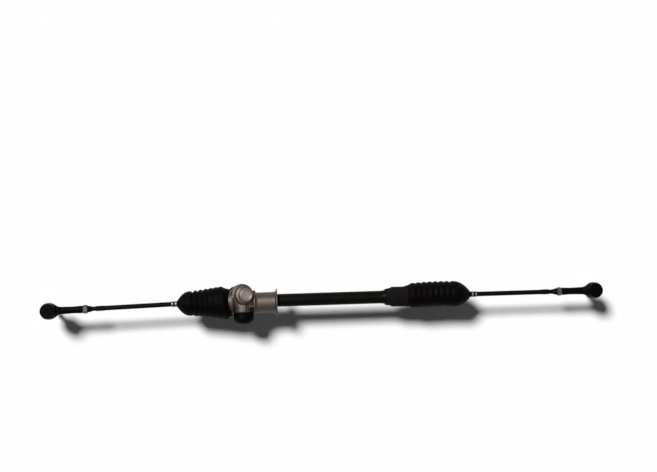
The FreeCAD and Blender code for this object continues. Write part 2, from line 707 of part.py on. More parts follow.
def pinion_journals():
    """Journals either side of the teeth and the input shaft, without its serrations."""
    shoulder = BEARING_SEAT_R + 2.2
    spline_from = SHAFT_END + SPLINE_LENGTH
    steps = [
        (SHAFT_END, SPLINE_R - 1.2),
        (SHAFT_END + 1.2, SPLINE_R),
        (spline_from, SPLINE_R),
        (spline_from + 1.5, INPUT_SHAFT_R),
        (RETAINER_FROM - 1, INPUT_SHAFT_R),
        (RETAINER_FROM, BEARING_SEAT_R),
        (BEARING_FROM, BEARING_SEAT_R),
        (BEARING_FROM, shoulder),
        (BEARING_FROM + 1.2, shoulder),
        (BEARING_FROM + 1.9, PINION_ROOT_R),
        (PINION_HALF_WIDTH, PINION_ROOT_R),
        (PINION_HALF_WIDTH + 0.5, JOURNAL_R),
        (BUSH_FROM + BUSH_LENGTH - 1, JOURNAL_R),
        (BUSH_FROM + BUSH_LENGTH, JOURNAL_R - 1),
        (BUSH_FROM + BUSH_LENGTH, 0),
    ]
    return turned((SHAFT_END, 0), steps, PINION_CENTRE, PINION_AXIS)


def spline_grooves():
    """Serration cutters round the input end and the groove for the pinch bolt."""
    cutters = []
    half = math.pi * SPLINE_R / SPLINE_TEETH * 0.8
    for tooth in range(SPLINE_TEETH):
        points = [
            FreeCAD.Vector(SHAFT_END - 1, SPLINE_R + 0.4, -half),
            FreeCAD.Vector(SHAFT_END - 1, SPLINE_R + 0.4, half),
            FreeCAD.Vector(SHAFT_END - 1, SPLINE_R - SPLINE_DEPTH, 0),
        ]
        face = Part.Face(Part.makePolygon(points + [points[0]]))
        cutter = face.extrude(FreeCAD.Vector(SPLINE_LENGTH, 0, 0))
        cutter.rotate(ORIGIN, X_DIR, 360 / SPLINE_TEETH * tooth)
        cutters.append(cutter)
    middle = SHAFT_END + SPLINE_LENGTH / 2
    cutters.append(ring(
        SPLINE_R + 1, PINCH_GROOVE_R, middle - PINCH_GROOVE_WIDTH / 2, middle + PINCH_GROOVE_WIDTH / 2))
    placement = FreeCAD.Placement(PINION_CENTRE, direction_turn(PINION_AXIS))
    return [moved(cutter, placement) for cutter in cutters]


def pinion_shaft():
    """Helical pinion with its journals and serrated input end."""
    shaft = pinion_journals().fuse(pinion_teeth())
    return shaft.cut(Part.makeCompound(spline_grooves()))


def pinion_bush():
    """Plain bush for the pinion's closed end."""
    return ring(BUSH_OUTER_R, JOURNAL_R + RUNNING_FIT, BUSH_FROM, BUSH_FROM + BUSH_LENGTH,
                PINION_CENTRE, PINION_AXIS)


def ball_track():
    """Ring-shaped groove that the bearing's balls run in."""
    groove = Part.makeTorus(BALL_TRACK_R, TRACK_R, ORIGIN, X_DIR)
    groove.translate(X_DIR * BEARING_MIDDLE)
    placement = FreeCAD.Placement(PINION_CENTRE, direction_turn(PINION_AXIS))
    return moved(groove, placement)


def pinion_bearing_outer():
    """Bearing ring in the housing."""
    inner = BALL_TRACK_R + RACE_STEP
    race = ring(BEARING_OUTER_R, inner, RETAINER_FROM, BEARING_FROM, PINION_CENTRE, PINION_AXIS)
    return race.cut(ball_track())


def pinion_bearing_inner():
    """Bearing ring on the pinion's seat."""
    outer = BALL_TRACK_R - RACE_STEP
    race = ring(outer, BEARING_SEAT_R, RETAINER_FROM, BEARING_FROM, PINION_CENTRE, PINION_AXIS)
    return race.cut(ball_track())


def pinion_bearing_balls():
    """Balls, spaced evenly and resting in the outer ring's track."""
    placement = FreeCAD.Placement(PINION_CENTRE, direction_turn(PINION_AXIS))
    balls = []
    for index in range(BEARING_BALL_COUNT):
        angle = 2 * math.pi * index / BEARING_BALL_COUNT
        height = BALL_TRACK_R * math.cos(angle)
        centre = FreeCAD.Vector(BEARING_MIDDLE, height, BALL_TRACK_R * math.sin(angle))
        balls.append(moved(Part.makeSphere(BALL_R, centre), placement))
    return Part.makeCompound(balls)


def pinion_retainer():
    """Threaded ring that holds the bearing, with four key slots in its face."""
    bore = BEARING_OUTER_R - RETAINER_RIM
    body = ring(BEARING_OUTER_R, bore, SEAL_FROM, RETAINER_FROM)
    clip = ring(BEARING_OUTER_R - 0.2 * RETAINER_RIM, bore - 1, SEAL_FROM - 1, RETAINER_FROM)
    for index in range(RETAINER_SLOT_COUNT):
        slot = Part.makeBox(RETAINER_SLOT_DEPTH + 1, RETAINER_SLOT_WIDTH, BEARING_OUTER_R)
        slot.translate(FreeCAD.Vector(SEAL_FROM - 1, -RETAINER_SLOT_WIDTH / 2, bore - 1))
        slot.rotate(ORIGIN, X_DIR, 360 / RETAINER_SLOT_COUNT * (index + 0.5))
        body = body.cut(slot.common(clip))
    return moved(body, FreeCAD.Placement(PINION_CENTRE, direction_turn(PINION_AXIS)))


def pinion_seal():
    """Lip seal round the input shaft, pressed in the tower's mouth."""
    lip = INPUT_SHAFT_R + SEAL_GAP
    end = SEAL_FROM - SEAL_WIDTH
    steps = [
        (end, BEARING_OUTER_R - 0.5),
        (end + 0.5, BEARING_OUTER_R),
        (SEAL_FROM, BEARING_OUTER_R),
        (SEAL_FROM, BEARING_OUTER_R - 2),
        (end + 2, BEARING_OUTER_R - 2),
        (end + 2, lip + 2),
        (SEAL_FROM - 0.5, lip + 0.8),
        (SEAL_FROM - 1.5, lip),
        (end, lip + 1),
    ]
    return turned((end, lip + 1), steps, PINION_CENTRE, PINION_AXIS)


def pinion_dust_cap():
    """Rubber cap stretched over the input side's mouth, with a neck round the shaft."""
    wall = DUST_CAP_WALL
    inner = INPUT_TOWER_R
    neck = INPUT_SHAFT_R + SOFT_GAP
    back = INPUT_TOWER_END + DUST_CAP_GRIP
    face = INPUT_TOWER_END - wall
    neck_end = face - DUST_CAP_NECK_LENGTH
    steps = [
        (back, inner + wall),
        (face + 2, inner + wall),
        (face + 0.6, inner + wall - 0.6),
        (face, inner),
        (face - 1.5, neck + wall + 3),
        (face - 4, neck + wall),
        (neck_end, neck + wall - 0.4),
        (neck_end, neck),
        (face - 1, neck),
        (INPUT_TOWER_END, neck + 5),
        (INPUT_TOWER_END, INPUT_TOWER_R - TOWER_MOUTH_CHAMFER),
        (INPUT_TOWER_END + TOWER_MOUTH_CHAMFER, inner),
    ]
    return turned((back, inner), steps, PINION_CENTRE, PINION_AXIS)


def pinion_end_cap():
    """Round plug pressed in the tower's face, slightly dished."""
    steps = [
        (END_CAP_FROM, END_CAP_R),
        (TOWER_TOP - 0.6, END_CAP_R),
        (TOWER_TOP, END_CAP_R - 0.6),
        (TOWER_TOP, END_CAP_R - 2.0),
        (TOWER_TOP - END_CAP_DISH, END_CAP_R - 3.2),
        (TOWER_TOP - END_CAP_DISH, 0),
    ]
    return turned((END_CAP_FROM, 0), steps, PINION_CENTRE, PINION_AXIS)


# Rack guide

def guide_frame():
    """Point on the guide's axis at y = 0 and its outward direction."""
    return FreeCAD.Vector(GUIDE_X, 0, 0), Y_DIR * -1


def rack_guide():
    """Yoke with a round saddle for the rack's back and a pocket for its spring."""
    at, along = guide_frame()
    body = rod(GUIDE_R, -GUIDE_TOP, -GUIDE_BOTTOM, at, along)
    saddle = rod(RACK_R + LINER_THICKNESS, GUIDE_X - GUIDE_R - 1, GUIDE_X + GUIDE_R + 1, RACK_CENTRE)
    pocket_r = SPRING_R + SPRING_WIRE / 2 + SPRING_PLAY
    pocket = rod(pocket_r, -GUIDE_BOTTOM - SPRING_POCKET, -GUIDE_BOTTOM + 1, at, along)
    groove_at = -GUIDE_BOTTOM - 2.6
    groove = ring(GUIDE_R + 1, GUIDE_R - 0.9, groove_at - 0.9, groove_at + 0.9, at, along)
    return body.cut(saddle).cut(pocket).cut(groove)


def guide_liner():
    """Thin low-friction shell between the yoke's saddle and the rack."""
    half = LINER_WIDTH / 2
    inner = RACK_R + RUNNING_FIT
    shell = ring(RACK_R + LINER_THICKNESS, inner, GUIDE_X - half, GUIDE_X + half, RACK_CENTRE)
    keep = Part.makeBox(LINER_WIDTH + 2, RACK_R * 2, RACK_R * 4)
    keep.translate(FreeCAD.Vector(GUIDE_X - half - 1, GUIDE_TOP - RACK_R * 2, -RACK_R * 2))
    reach = rod(GUIDE_R, -GUIDE_TOP - 1, -GUIDE_BOTTOM, FreeCAD.Vector(GUIDE_X, 0, 0), Y_DIR * -1)
    return shell.common(keep).common(reach)


def guide_spring():
    """Coil spring of square wire between the yoke and its plug."""
    start = GUIDE_BOTTOM + SPRING_POCKET
    length = start - PLUG_TOP
    half = SPRING_WIRE / 2
    pitch = (length - SPRING_WIRE) / SPRING_TURN_COUNT
    helix = Part.makeHelix(pitch, pitch * SPRING_TURN_COUNT, SPRING_R)
    corners = [
        FreeCAD.Vector(SPRING_R - half, 0, -half),
        FreeCAD.Vector(SPRING_R + half, 0, -half),
        FreeCAD.Vector(SPRING_R + half, 0, half),
        FreeCAD.Vector(SPRING_R - half, 0, half),
    ]
    section = Part.makePolygon(corners + [corners[0]])
    coil = Part.Wire(helix.Edges).makePipeShell([section], True, True)
    base = FreeCAD.Vector(GUIDE_X, start - half, 0)
    coil.Placement = FreeCAD.Placement(base, FreeCAD.Rotation(Z_DIR, Y_DIR * -1))
    return coil


def guide_plug():
    """Threaded plug that sets the spring, with a hexagon socket in its face."""
    at, along = guide_frame()
    steps = [
        (-PLUG_TOP, PLUG_R),
        (-PLUG_TOP + PLUG_LENGTH - 1, PLUG_R),
        (-PLUG_TOP + PLUG_LENGTH, PLUG_R - 1),
        (-PLUG_TOP + PLUG_LENGTH, 0),
    ]
    plug = turned((-PLUG_TOP, 0), steps, at, along)
    socket = hexagon(PLUG_HEX, -PLUG_TOP + PLUG_LENGTH - 6, -PLUG_TOP + PLUG_LENGTH + 1, at, along)
    return plug.cut(socket)


def guide_lock_nut():
    """Nut that locks the plug against the barrel's foot."""
    at, along = guide_frame()
    start = -GUIDE_BARREL_FOOT
    return nut(LOCK_NUT_FLATS, PLUG_R, start, start + LOCK_NUT_THICKNESS, at, along)


def guide_cover():
    """Black cup pressed over the guide barrel's foot."""
    at, along = guide_frame()
    start = -GUIDE_BARREL_END
    end = start + COVER_LENGTH
    inner = GUIDE_SPIGOT_R
    wall = COVER_WALL
    shoulder = end - 8
    steps = [
        (start, COVER_R - 0.6),
        (start + 0.6, COVER_R),
        (shoulder - 4, COVER_R),
        ((shoulder + 2.5, COVER_R - 2.4), (end - 1.2, COVER_TIP_R + 1.6)),
        ((end - 0.3, COVER_TIP_R + 0.5), (end, COVER_TIP_R - 1)),
        (end, 0),
        (end - wall, 0),
        (end - wall, COVER_TIP_R - 1.5),
        ((shoulder + 1.5, inner - 2.6), (shoulder - 4, inner)),
        (start, inner),
    ]
    return turned((start, inner), steps, at, along)


# Rack bar and inner joints

def tooth_spaces():
    """Trapezoid cutters for the rack's tooth spaces."""
    cutters = []
    width = 2 * RACK_R + 2
    overshoot = 1.0

    def half_width(height):
        return RACK_PITCH / 4 + (height - REFERENCE_HEIGHT) * math.tan(PRESSURE)
    low = half_width(RACK_ROOT_HEIGHT)
    high = half_width(TOOTH_FLAT_HEIGHT + overshoot)
    for index in range(RACK_TOOTH_COUNT):
        x = PINION_X + (index - (RACK_TOOTH_COUNT - 1) / 2) * RACK_PITCH
        y_low = RACK_Y + RACK_ROOT_HEIGHT
        y_high = RACK_Y + TOOTH_FLAT_HEIGHT + overshoot
        corners = [
            FreeCAD.Vector(x - low, y_low, -width / 2),
            FreeCAD.Vector(x + low, y_low, -width / 2),
            FreeCAD.Vector(x + high, y_high, -width / 2),
            FreeCAD.Vector(x - high, y_high, -width / 2),
        ]
        face = Part.Face(Part.makePolygon(corners + [corners[0]]))
        cutters.append(face.extrude(Z_DIR * width))
    return cutters


def rack_bar():
    """Round bar with straight teeth along its pinion side and threaded holes in both ends."""
    left = RACK_LEFT_END
    right = RACK_RIGHT_END
    chamfer = RACK_END_CHAMFER
    steps = [
        (left, RACK_R - chamfer),
        (left + chamfer, RACK_R),
        (right - chamfer, RACK_R),
        (right, RACK_R - chamfer),
        (right, 0),
    ]
    bar = turned((left, 0), steps, RACK_CENTRE)
    flat_length = (RACK_TOOTH_COUNT + 0.5) * RACK_PITCH
    flat = Part.makeBox(flat_length, RACK_R, 2 * RACK_R + 2)
    flat.translate(FreeCAD.Vector(PINION_X - flat_length / 2, RACK_Y + TOOTH_FLAT_HEIGHT, -RACK_R - 1))
    bar = bar.cut(flat).cut(Part.makeCompound(tooth_spaces()))
    depth = SOCKET_STEM_LENGTH + 2 - LOCK_WASHER_THICKNESS
    bar = bar.cut(rod(SOCKET_STEM_R, left - 1, left + depth, RACK_CENTRE))
    return bar.cut(rod(SOCKET_STEM_R, right - depth, right + 1, RACK_CENTRE))


def inner_socket():
    """Socket of an inner joint in its own frame: ball centre at 0, outwards along +X."""
    back = -SOCKET_BACK
    cavity = INNER_SEAT_R + RUNNING_FIT
    lip = ball_segment(cavity, SOCKET_MOUTH_DEG)
    steps = [
        (back - SOCKET_STEM_LENGTH, SOCKET_STEM_R - 1),
        (back - SOCKET_STEM_LENGTH + 1, SOCKET_STEM_R),
        (back, SOCKET_STEM_R),
        (back, SOCKET_R - 1),
        (back + 1, SOCKET_R),
        (SOCKET_MOUTH - 5.5, SOCKET_R),
        (SOCKET_MOUTH, SOCKET_LIP_R),
        (SOCKET_MOUTH, lip[1] + SOCKET_MOUTH_FLARE),
        lip,
        (ball_segment(cavity, 115), (-cavity, 0)),
    ]
    body = turned((back - SOCKET_STEM_LENGTH, 0), steps)
    for side in (1, -1):
        flat = Part.makeBox(SOCKET_FLAT_LENGTH, 2 * SOCKET_R, SOCKET_R)
        low = SOCKET_FLATS / 2 if side > 0 else -SOCKET_FLATS / 2 - SOCKET_R
        flat.translate(FreeCAD.Vector(back, -SOCKET_R, low))
        body = body.cut(flat)
    return body


def inner_seat():
    """Ball seat: outside it swings in the socket, inside it holds the tie rod's ball."""
    return ball_shell(INNER_SEAT_R, INNER_BALL_R + RUNNING_FIT, INNER_SEAT_OPEN_DEG)


def ball_shell(outer, inner, open_deg):
    """Spherical shell with a round mouth that opens along +X."""
    steps = [
        (ball_segment(outer, 115), ball_segment(outer, open_deg)),
        ball_segment(inner, open_deg),
        (ball_segment(inner, 115), (-inner, 0)),
    ]
    return turned((-outer, 0), steps)


def lock_washer():
    """Tab washer between rack end and socket, with two tabs bent onto the socket's flats."""
    face = -SOCKET_BACK
    washer = ring(LOCK_WASHER_R, SOCKET_STEM_R, face - LOCK_WASHER_THICKNESS, face)
    for side in (1, -1):
        tab = Part.makeBox(LOCK_TAB_LENGTH + LOCK_WASHER_THICKNESS, LOCK_TAB_WIDTH, LOCK_WASHER_THICKNESS)
        low = SOCKET_FLATS / 2 if side > 0 else -SOCKET_FLATS / 2 - LOCK_WASHER_THICKNESS
        tab.translate(FreeCAD.Vector(face - LOCK_WASHER_THICKNESS, -LOCK_TAB_WIDTH / 2, low))
        washer = washer.fuse(tab)
    return washer


# Tie rod, from its inner ball outwards along +X

def tie_rod():
    """Rod with its inner ball, wrench grip and thread."""
    neck = math.sqrt(INNER_BALL_R ** 2 - ROD_NECK_R ** 2)
    grip_end = ROD_GRIP_FROM + ROD_GRIP_LENGTH
    steps = [
        ((0, INNER_BALL_R), (neck, ROD_NECK_R)),
        (neck + 22, ROD_NECK_R),
        (neck + 24, ROD_R),
        (ROD_GRIP_FROM - 2, ROD_R),
        (ROD_GRIP_FROM, ROD_GRIP_R),
        (grip_end, ROD_GRIP_R),
        (grip_end + 1.2, ROD_THREAD_R),
        (ROD_THREAD_END - 1, ROD_THREAD_R),
        (ROD_THREAD_END, ROD_THREAD_R - 1),
        (ROD_THREAD_END, 0),
    ]
    shaft = turned((-INNER_BALL_R, 0), steps)
    for side in (1, -1):
        flat = Part.makeBox(ROD_GRIP_LENGTH - 3, 4 * ROD_GRIP_R, ROD_GRIP_R)
        low = ROD_GRIP_FLATS / 2 if side > 0 else -ROD_GRIP_FLATS / 2 - ROD_GRIP_R
        flat.translate(FreeCAD.Vector(ROD_GRIP_FROM + 1.5, -2 * ROD_GRIP_R, low))
        shaft = shaft.cut(flat)
    return shaft


def jam_nut():
    """Nut that locks the tie-rod end on the rod's thread, with a tapered collar on its inner side."""
    start = ROD_SPAN - SHANK_END - JAM_NUT_THICKNESS
    tip = start - NUT_COLLAR_LENGTH
    steps = [
        (tip, ROD_THREAD_R + NUT_COLLAR_TIP_WALL),
        (start, JAM_NUT_FLATS / 2 - NUT_COLLAR_STEP),
        (start, ROD_THREAD_R),
    ]
    collar = turned((tip, ROD_THREAD_R), steps)
    return nut(JAM_NUT_FLATS, ROD_THREAD_R, start, start + JAM_NUT_THICKNESS).fuse(collar)


# Tie-rod end, with its ball's centre at 0, its shank along -X and its stud down

def head_flare():
    """Forged run from the head's sides into the shank, flat above and below."""
    reach = HEAD_FLARE_END - HEAD_R
    steps = [
        (0.5 * HEAD_R, 0.94 * HEAD_R),
        (0.85 * HEAD_R, 0.75 * HEAD_R),
        ((HEAD_R + 0.13 * reach, 0.59 * HEAD_R), (HEAD_FLARE_END, SHANK_BELL_R)),
        (HEAD_FLARE_END, 0),
    ]
    flare = turned((0.5 * HEAD_R, 0), steps, along=X_DIR * -1)
    slab = Part.makeBox(HEAD_FLARE_END, 2 * HEAD_R, 2 * FLARE_HALF_THICKNESS)
    slab.translate(FreeCAD.Vector(-HEAD_FLARE_END, -HEAD_R, -FLARE_HALF_THICKNESS))
    return flare.common(slab)


def rod_end():
    """Forged head and shank of a tie-rod end, bored for its ball seat."""
    cavity = OUTER_SEAT_R + RUNNING_FIT
    head = turned(
        (HEAD_BOTTOM, 0),
        [
            (HEAD_BOTTOM, BOOT_GROOVE_R + GROOVE_LIP),
            (HEAD_BOTTOM + GROOVE_LIP_WIDTH, BOOT_GROOVE_R + GROOVE_LIP),
            (HEAD_BOTTOM + GROOVE_LIP_WIDTH, BOOT_GROOVE_R),
            (HEAD_BOTTOM + GROOVE_LIP_WIDTH + GROOVE_WIDTH, BOOT_GROOVE_R),
            (HEAD_BOTTOM + 2 * GROOVE_LIP_WIDTH + 0.85 * GROOVE_WIDTH, HEAD_R - HEAD_EDGE),
            (0.1 * HEAD_BOTTOM, HEAD_R),
            (0.25 * HEAD_TOP, HEAD_R),
            ((0.625 * HEAD_TOP, HEAD_R - 0.55 * HEAD_EDGE), (HEAD_TOP - HEAD_EDGE, HEAD_CROWN_R + 0.7 * HEAD_EDGE)),
            (HEAD_TOP, HEAD_CROWN_R),
            (HEAD_TOP, 0),
        ],
        along=Z_DIR,
    )
    waist_end = SHANK_END - SHANK_BELL_LENGTH - SHANK_SLOPE
    shank = turned(
        (0, 0),
        [
            (0, SHANK_ROOT_R + 1),
            (HEAD_R - 2, SHANK_ROOT_R),
            ((HEAD_R + 0.4 * SHANK_ROOT_LENGTH, SHANK_BELL_R + 0.15),
             (HEAD_R + SHANK_ROOT_LENGTH, SHANK_BELL_R)),
            (waist_end - SHANK_WAIST_LENGTH, SHANK_WAIST_R),
            (waist_end, SHANK_WAIST_R),
            (SHANK_END - SHANK_BELL_LENGTH, SHANK_BELL_R),
            (SHANK_END - SHANK_EDGE, SHANK_BELL_R),
            (SHANK_END, SHANK_BELL_R - SHANK_EDGE),
            (SHANK_END, 0),
        ],
        along=X_DIR * -1,
    )
    body = head.fuse(shank).fuse(head_flare())
    lip = ball_segment(cavity, OUTER_MOUTH_DEG)
    middle = ball_segment(cavity, (OUTER_MOUTH_DEG + 90) / 2)
    plug_floor = HEAD_TOP - HEAD_ROLL - END_PLUG_THICKNESS
    hollow = turned(
        (HEAD_BOTTOM - 1, 0),
        [
            (HEAD_BOTTOM - 1, lip[1] + OUTER_MOUTH_FLARE * 1.5),
            (HEAD_BOTTOM, lip[1] + OUTER_MOUTH_FLARE),
            (-lip[0], lip[1]),
            ((-middle[0], middle[1]), (0, cavity)),
            (plug_floor, cavity),
            (plug_floor, END_PLUG_R),
            (HEAD_TOP - HEAD_ROLL, END_PLUG_R),
            (HEAD_TOP - HEAD_ROLL, END_PLUG_R - 0.9),
            (HEAD_TOP + 1, END_PLUG_R - 0.9),
            (HEAD_TOP + 1, 0),
        ],
        along=Z_DIR,
    )
    bore = rod(ROD_THREAD_R, -SHANK_END - 1, -SHANK_BORE_END)
    return body.cut(hollow).cut(bore)


def end_plug():
    """Pressed steel disc that closes the head's top."""
    top = HEAD_TOP - HEAD_ROLL
    low = top - END_PLUG_THICKNESS
    steps = [
        (low, END_PLUG_R),
        (top, END_PLUG_R),
        (top, 6.5),
        (top - 0.7, 5.5),
        (top - 0.7, 0),
    ]
    return turned((low, 0), steps, along=Z_DIR)


def outer_seat():
    """Ball seat in the head, open downwards round the stud."""
    shell = ball_shell(OUTER_SEAT_R, OUTER_BALL_R + RUNNING_FIT, OUTER_SEAT_OPEN_DEG)
    shell.Placement = FreeCAD.Placement(ORIGIN, direction_turn(Z_DIR * -1))
    return shell


def ball_stud():
    """Ball stud with a tapered seat and a threaded end."""
    neck = math.sqrt(OUTER_BALL_R ** 2 - STUD_NECK_R ** 2)
    taper_from = -STUD_TAPER_FROM
    taper_to = taper_from + STUD_TAPER_LENGTH
    thread_from = taper_to + STUD_GROOVE
    thread_to = thread_from + STUD_THREAD_LENGTH
    steps = [
        ((0, OUTER_BALL_R), (neck, STUD_NECK_R)),
        (taper_from - 2, STUD_NECK_R),
        (taper_from, STUD_TAPER_TOP_R),
        (taper_to, STUD_TAPER_END_R),
        (taper_to, STUD_THREAD_R - 0.8),
        (thread_from, STUD_THREAD_R - 0.8),
        (thread_from, STUD_THREAD_R),
        (thread_to, STUD_THREAD_R),
        (thread_to + 1.2, STUD_THREAD_R - 1.2),
        (thread_to + 1.2, 0),
    ]
    return turned((-OUTER_BALL_R, 0), steps, along=Z_DIR * -1)


def dust_boot():
    """Small rubber boot from the head's groove to the stud's neck."""
    grip = BOOT_GROOVE_R
    lip = STUD_NECK_R + SOFT_GAP
    ledge = -HEAD_BOTTOM
    top = ledge - GROOVE_LIP_WIDTH - DUST_BOOT_GRIP
    mouth = BOOT_GROOVE_R + GROOVE_LIP
    end = -DUST_BOOT_LIP
    wall = DUST_BOOT_WALL
    steps = [
        (top, grip + wall),
        (ledge, mouth + wall),
        (ledge + 2.5, DUST_BOOT_R + 0.8),
        (ledge + 5, DUST_BOOT_R - 0.6),
        (end - 4, lip + 4),
        (end - 3, lip + 2),
        (end, lip + 2),
        (end, lip),
        (end - 3.5, lip),
        (end - 5, lip + 2.5),
        (ledge + 4.5, DUST_BOOT_R - 0.8 - wall),
        (ledge + 2.5, DUST_BOOT_R - 0.2 - wall),
        (ledge, mouth - 1.2),
        (ledge, mouth),
        (ledge - GROOVE_LIP_WIDTH, mouth),
        (ledge - GROOVE_LIP_WIDTH, grip),
    ]
    return turned((top, grip), steps, along=Z_DIR * -1)


def dust_ring():
    """Wire ring that holds the dust boot in the head's groove."""
    grip = GROOVE_LIP_WIDTH + DUST_BOOT_GRIP
    half = DUST_RING_WIRE
    middle = -HEAD_BOTTOM - DUST_RING_PLACE
    lowest = (grip - DUST_RING_PLACE + half) / grip
    inner = BOOT_GROOVE_R + DUST_BOOT_WALL + lowest * GROOVE_LIP
    steps = [
        (middle - half * 0.4, inner + 2 * half),
        (middle + half * 0.4, inner + 2 * half),
        (middle + half, inner + half),
        (middle + half * 0.6, inner),
        (middle - half * 0.6, inner),
        (middle - half, inner + half),
    ]
    return turned(steps[-1], steps[:-1], along=Z_DIR * -1)


# Bellows and their bands

def boot_folds(start, end, start_r, end_r, count):
    """Points of a row of folds whose crests run from one radius to the other."""
    points = []
    spacing = (end - start) / (count - 1)
    for index in range(count):
        share = index / (count - 1)
        crest = start_r + share * (end_r - start_r)
        middle = start + index * spacing
        points.append((middle - 0.18 * spacing, crest))
        points.append((middle + 0.18 * spacing, crest))
        if index < count - 1:
            points.append((middle + 0.5 * spacing, crest - FOLD_DEPTH))
    return points


def boot_shell(cuff_from, cuff_to, cuff_r, grip_r, folds, small_end):
    """Bellows from its cuff over a row of folds to the nozzle on the rod."""
    way = 1 if small_end > cuff_to else -1
    rod_r = ROD_R + SOFT_GAP
    nozzle_r = rod_r + BOOT_NOZZLE_WALL
    last_x, last_r = folds[-1]
    tip = small_end - way * BOOT_NOZZLE_LENGTH
    inside = BOOT_WALL

    def dome(low_r, high_r, shift):
        points = []
        for index in range(DOME_POINT_COUNT):
            share = (index + 1) / DOME_POINT_COUNT
            x = last_x + (tip - last_x) * share - way * shift
            points.append((x, low_r + (high_r - low_r) * (1 - share ** DOME_POWER)))
        return points
    first_x, first_r = folds[0]
    steps = [(cuff_from, cuff_r), (cuff_to, cuff_r)]
    steps += folds
    steps += dome(nozzle_r, last_r, 0)
    steps += [(small_end, nozzle_r), (small_end, rod_r)]
    steps += reversed(dome(rod_r, last_r - FOLD_DEPTH - inside, inside))
    steps += [
        (last_x, last_r - FOLD_DEPTH - inside),
        (first_x, first_r - FOLD_DEPTH - inside),
        (cuff_to, grip_r),
        (cuff_from, grip_r),
    ]
    return turned((cuff_from, grip_r), steps, RACK_CENTRE)


def left_boot():
    """Left bellows, turned a little so that its nozzle meets the drooping rod."""
    cuff_from = LEFT_CUFF_MIDDLE + LEFT_CUFF_LENGTH / 2
    cuff_to = LEFT_CUFF_MIDDLE - LEFT_CUFF_LENGTH / 2
    grip = SPIGOT_R + SEAL_GAP
    cuff_r = SPIGOT_R + LEFT_CUFF_WALL
    small_end = LEFT_BALL_X - BOOT_DOME - BOOT_NOZZLE_LENGTH
    folds = boot_folds(
        LEFT_BOOT_CREST_FROM, LEFT_BOOT_CREST_TO, LEFT_BOOT_BIG_R, LEFT_BOOT_SMALL_R, LEFT_BOOT_FOLD_COUNT)
    boot = boot_shell(cuff_from, cuff_to, cuff_r, grip, folds, small_end)
    return left_boot_turn(boot)


def left_boot_turn(shape):
    """Turns a piece about the left bellows' cuff until its far end meets the drooping rod."""
    small_end = LEFT_BALL_X - BOOT_DOME - BOOT_NOZZLE_LENGTH
    drop = (LEFT_BALL_X - small_end) * math.tan(math.radians(LEFT_ROD_DROOP_DEG))
    angle = math.degrees(math.atan(drop / (LEFT_CUFF_MIDDLE - small_end)))
    shape.rotate(FreeCAD.Vector(LEFT_CUFF_MIDDLE, RACK_Y, 0), Z_DIR, angle)
    return shape


def right_boot():
    """Right bellows, whose cuff grips the tube's wide end."""
    cuff_to = RIGHT_BOOT_CUFF_FROM + RIGHT_BOOT_CUFF_LENGTH
    small_end = RIGHT_BALL_X + BOOT_DOME + BOOT_NOZZLE_LENGTH
    folds = boot_folds(
        RIGHT_BOOT_CREST_FROM, RIGHT_BOOT_CREST_TO, RIGHT_BOOT_BIG_R, RIGHT_BOOT_SMALL_R, RIGHT_BOOT_FOLD_COUNT)
    cuff_r = TUBE_WIDE_R + RIGHT_CUFF_WALL
    return boot_shell(RIGHT_BOOT_CUFF_FROM, cuff_to, cuff_r, TUBE_WIDE_R, folds, small_end)


def worm_band(radius, middle):
    """Flat band with a small screw housing on the side away from the input end."""
    half = BAND_WIDTH / 2
    radius += BAND_FIT
    band = ring(radius + BAND_THICKNESS, radius, middle - half, middle + half)
    screw = Part.makeBox(BAND_WIDTH, BAND_SCREW_HEIGHT, BAND_SCREW_LENGTH)
    screw.translate(FreeCAD.Vector(middle - half, -radius - BAND_SCREW_HEIGHT, -BAND_SCREW_LENGTH / 2))
    screw = screw.cut(rod(radius + 0.5 * BAND_THICKNESS, middle - half - 1, middle + half + 1))
    band = band.fuse(screw)
    band.rotate(ORIGIN, X_DIR, BAND_SCREW_TURN_DEG)
    band.translate(RACK_CENTRE)
    return band


def boot_clip():
    """Two spring rings round a bellows' nozzle, joined by their ears, in the tie rod's frame."""
    inner = ROD_R + SOFT_GAP + BOOT_NOZZLE_WALL + SOFT_GAP
    outer = inner + CLIP_THICKNESS
    start = BOOT_DOME + CLIP_SETBACK
    end = start + CLIP_LENGTH
    clip = ring(outer, inner, start, start + CLIP_RING_WIDTH)
    clip = clip.fuse(ring(outer, inner, end - CLIP_RING_WIDTH, end))
    root = outer - 0.6 * CLIP_THICKNESS
    for side in (1, -1):
        ear = Part.makeBox(CLIP_LENGTH, CLIP_THICKNESS, CLIP_EAR_HEIGHT)
        across = (side * CLIP_EAR_SPREAD - CLIP_THICKNESS) / 2
        ear.translate(FreeCAD.Vector(start, across, -root - CLIP_EAR_HEIGHT))
        clip = clip.fuse(ear)
    return clip


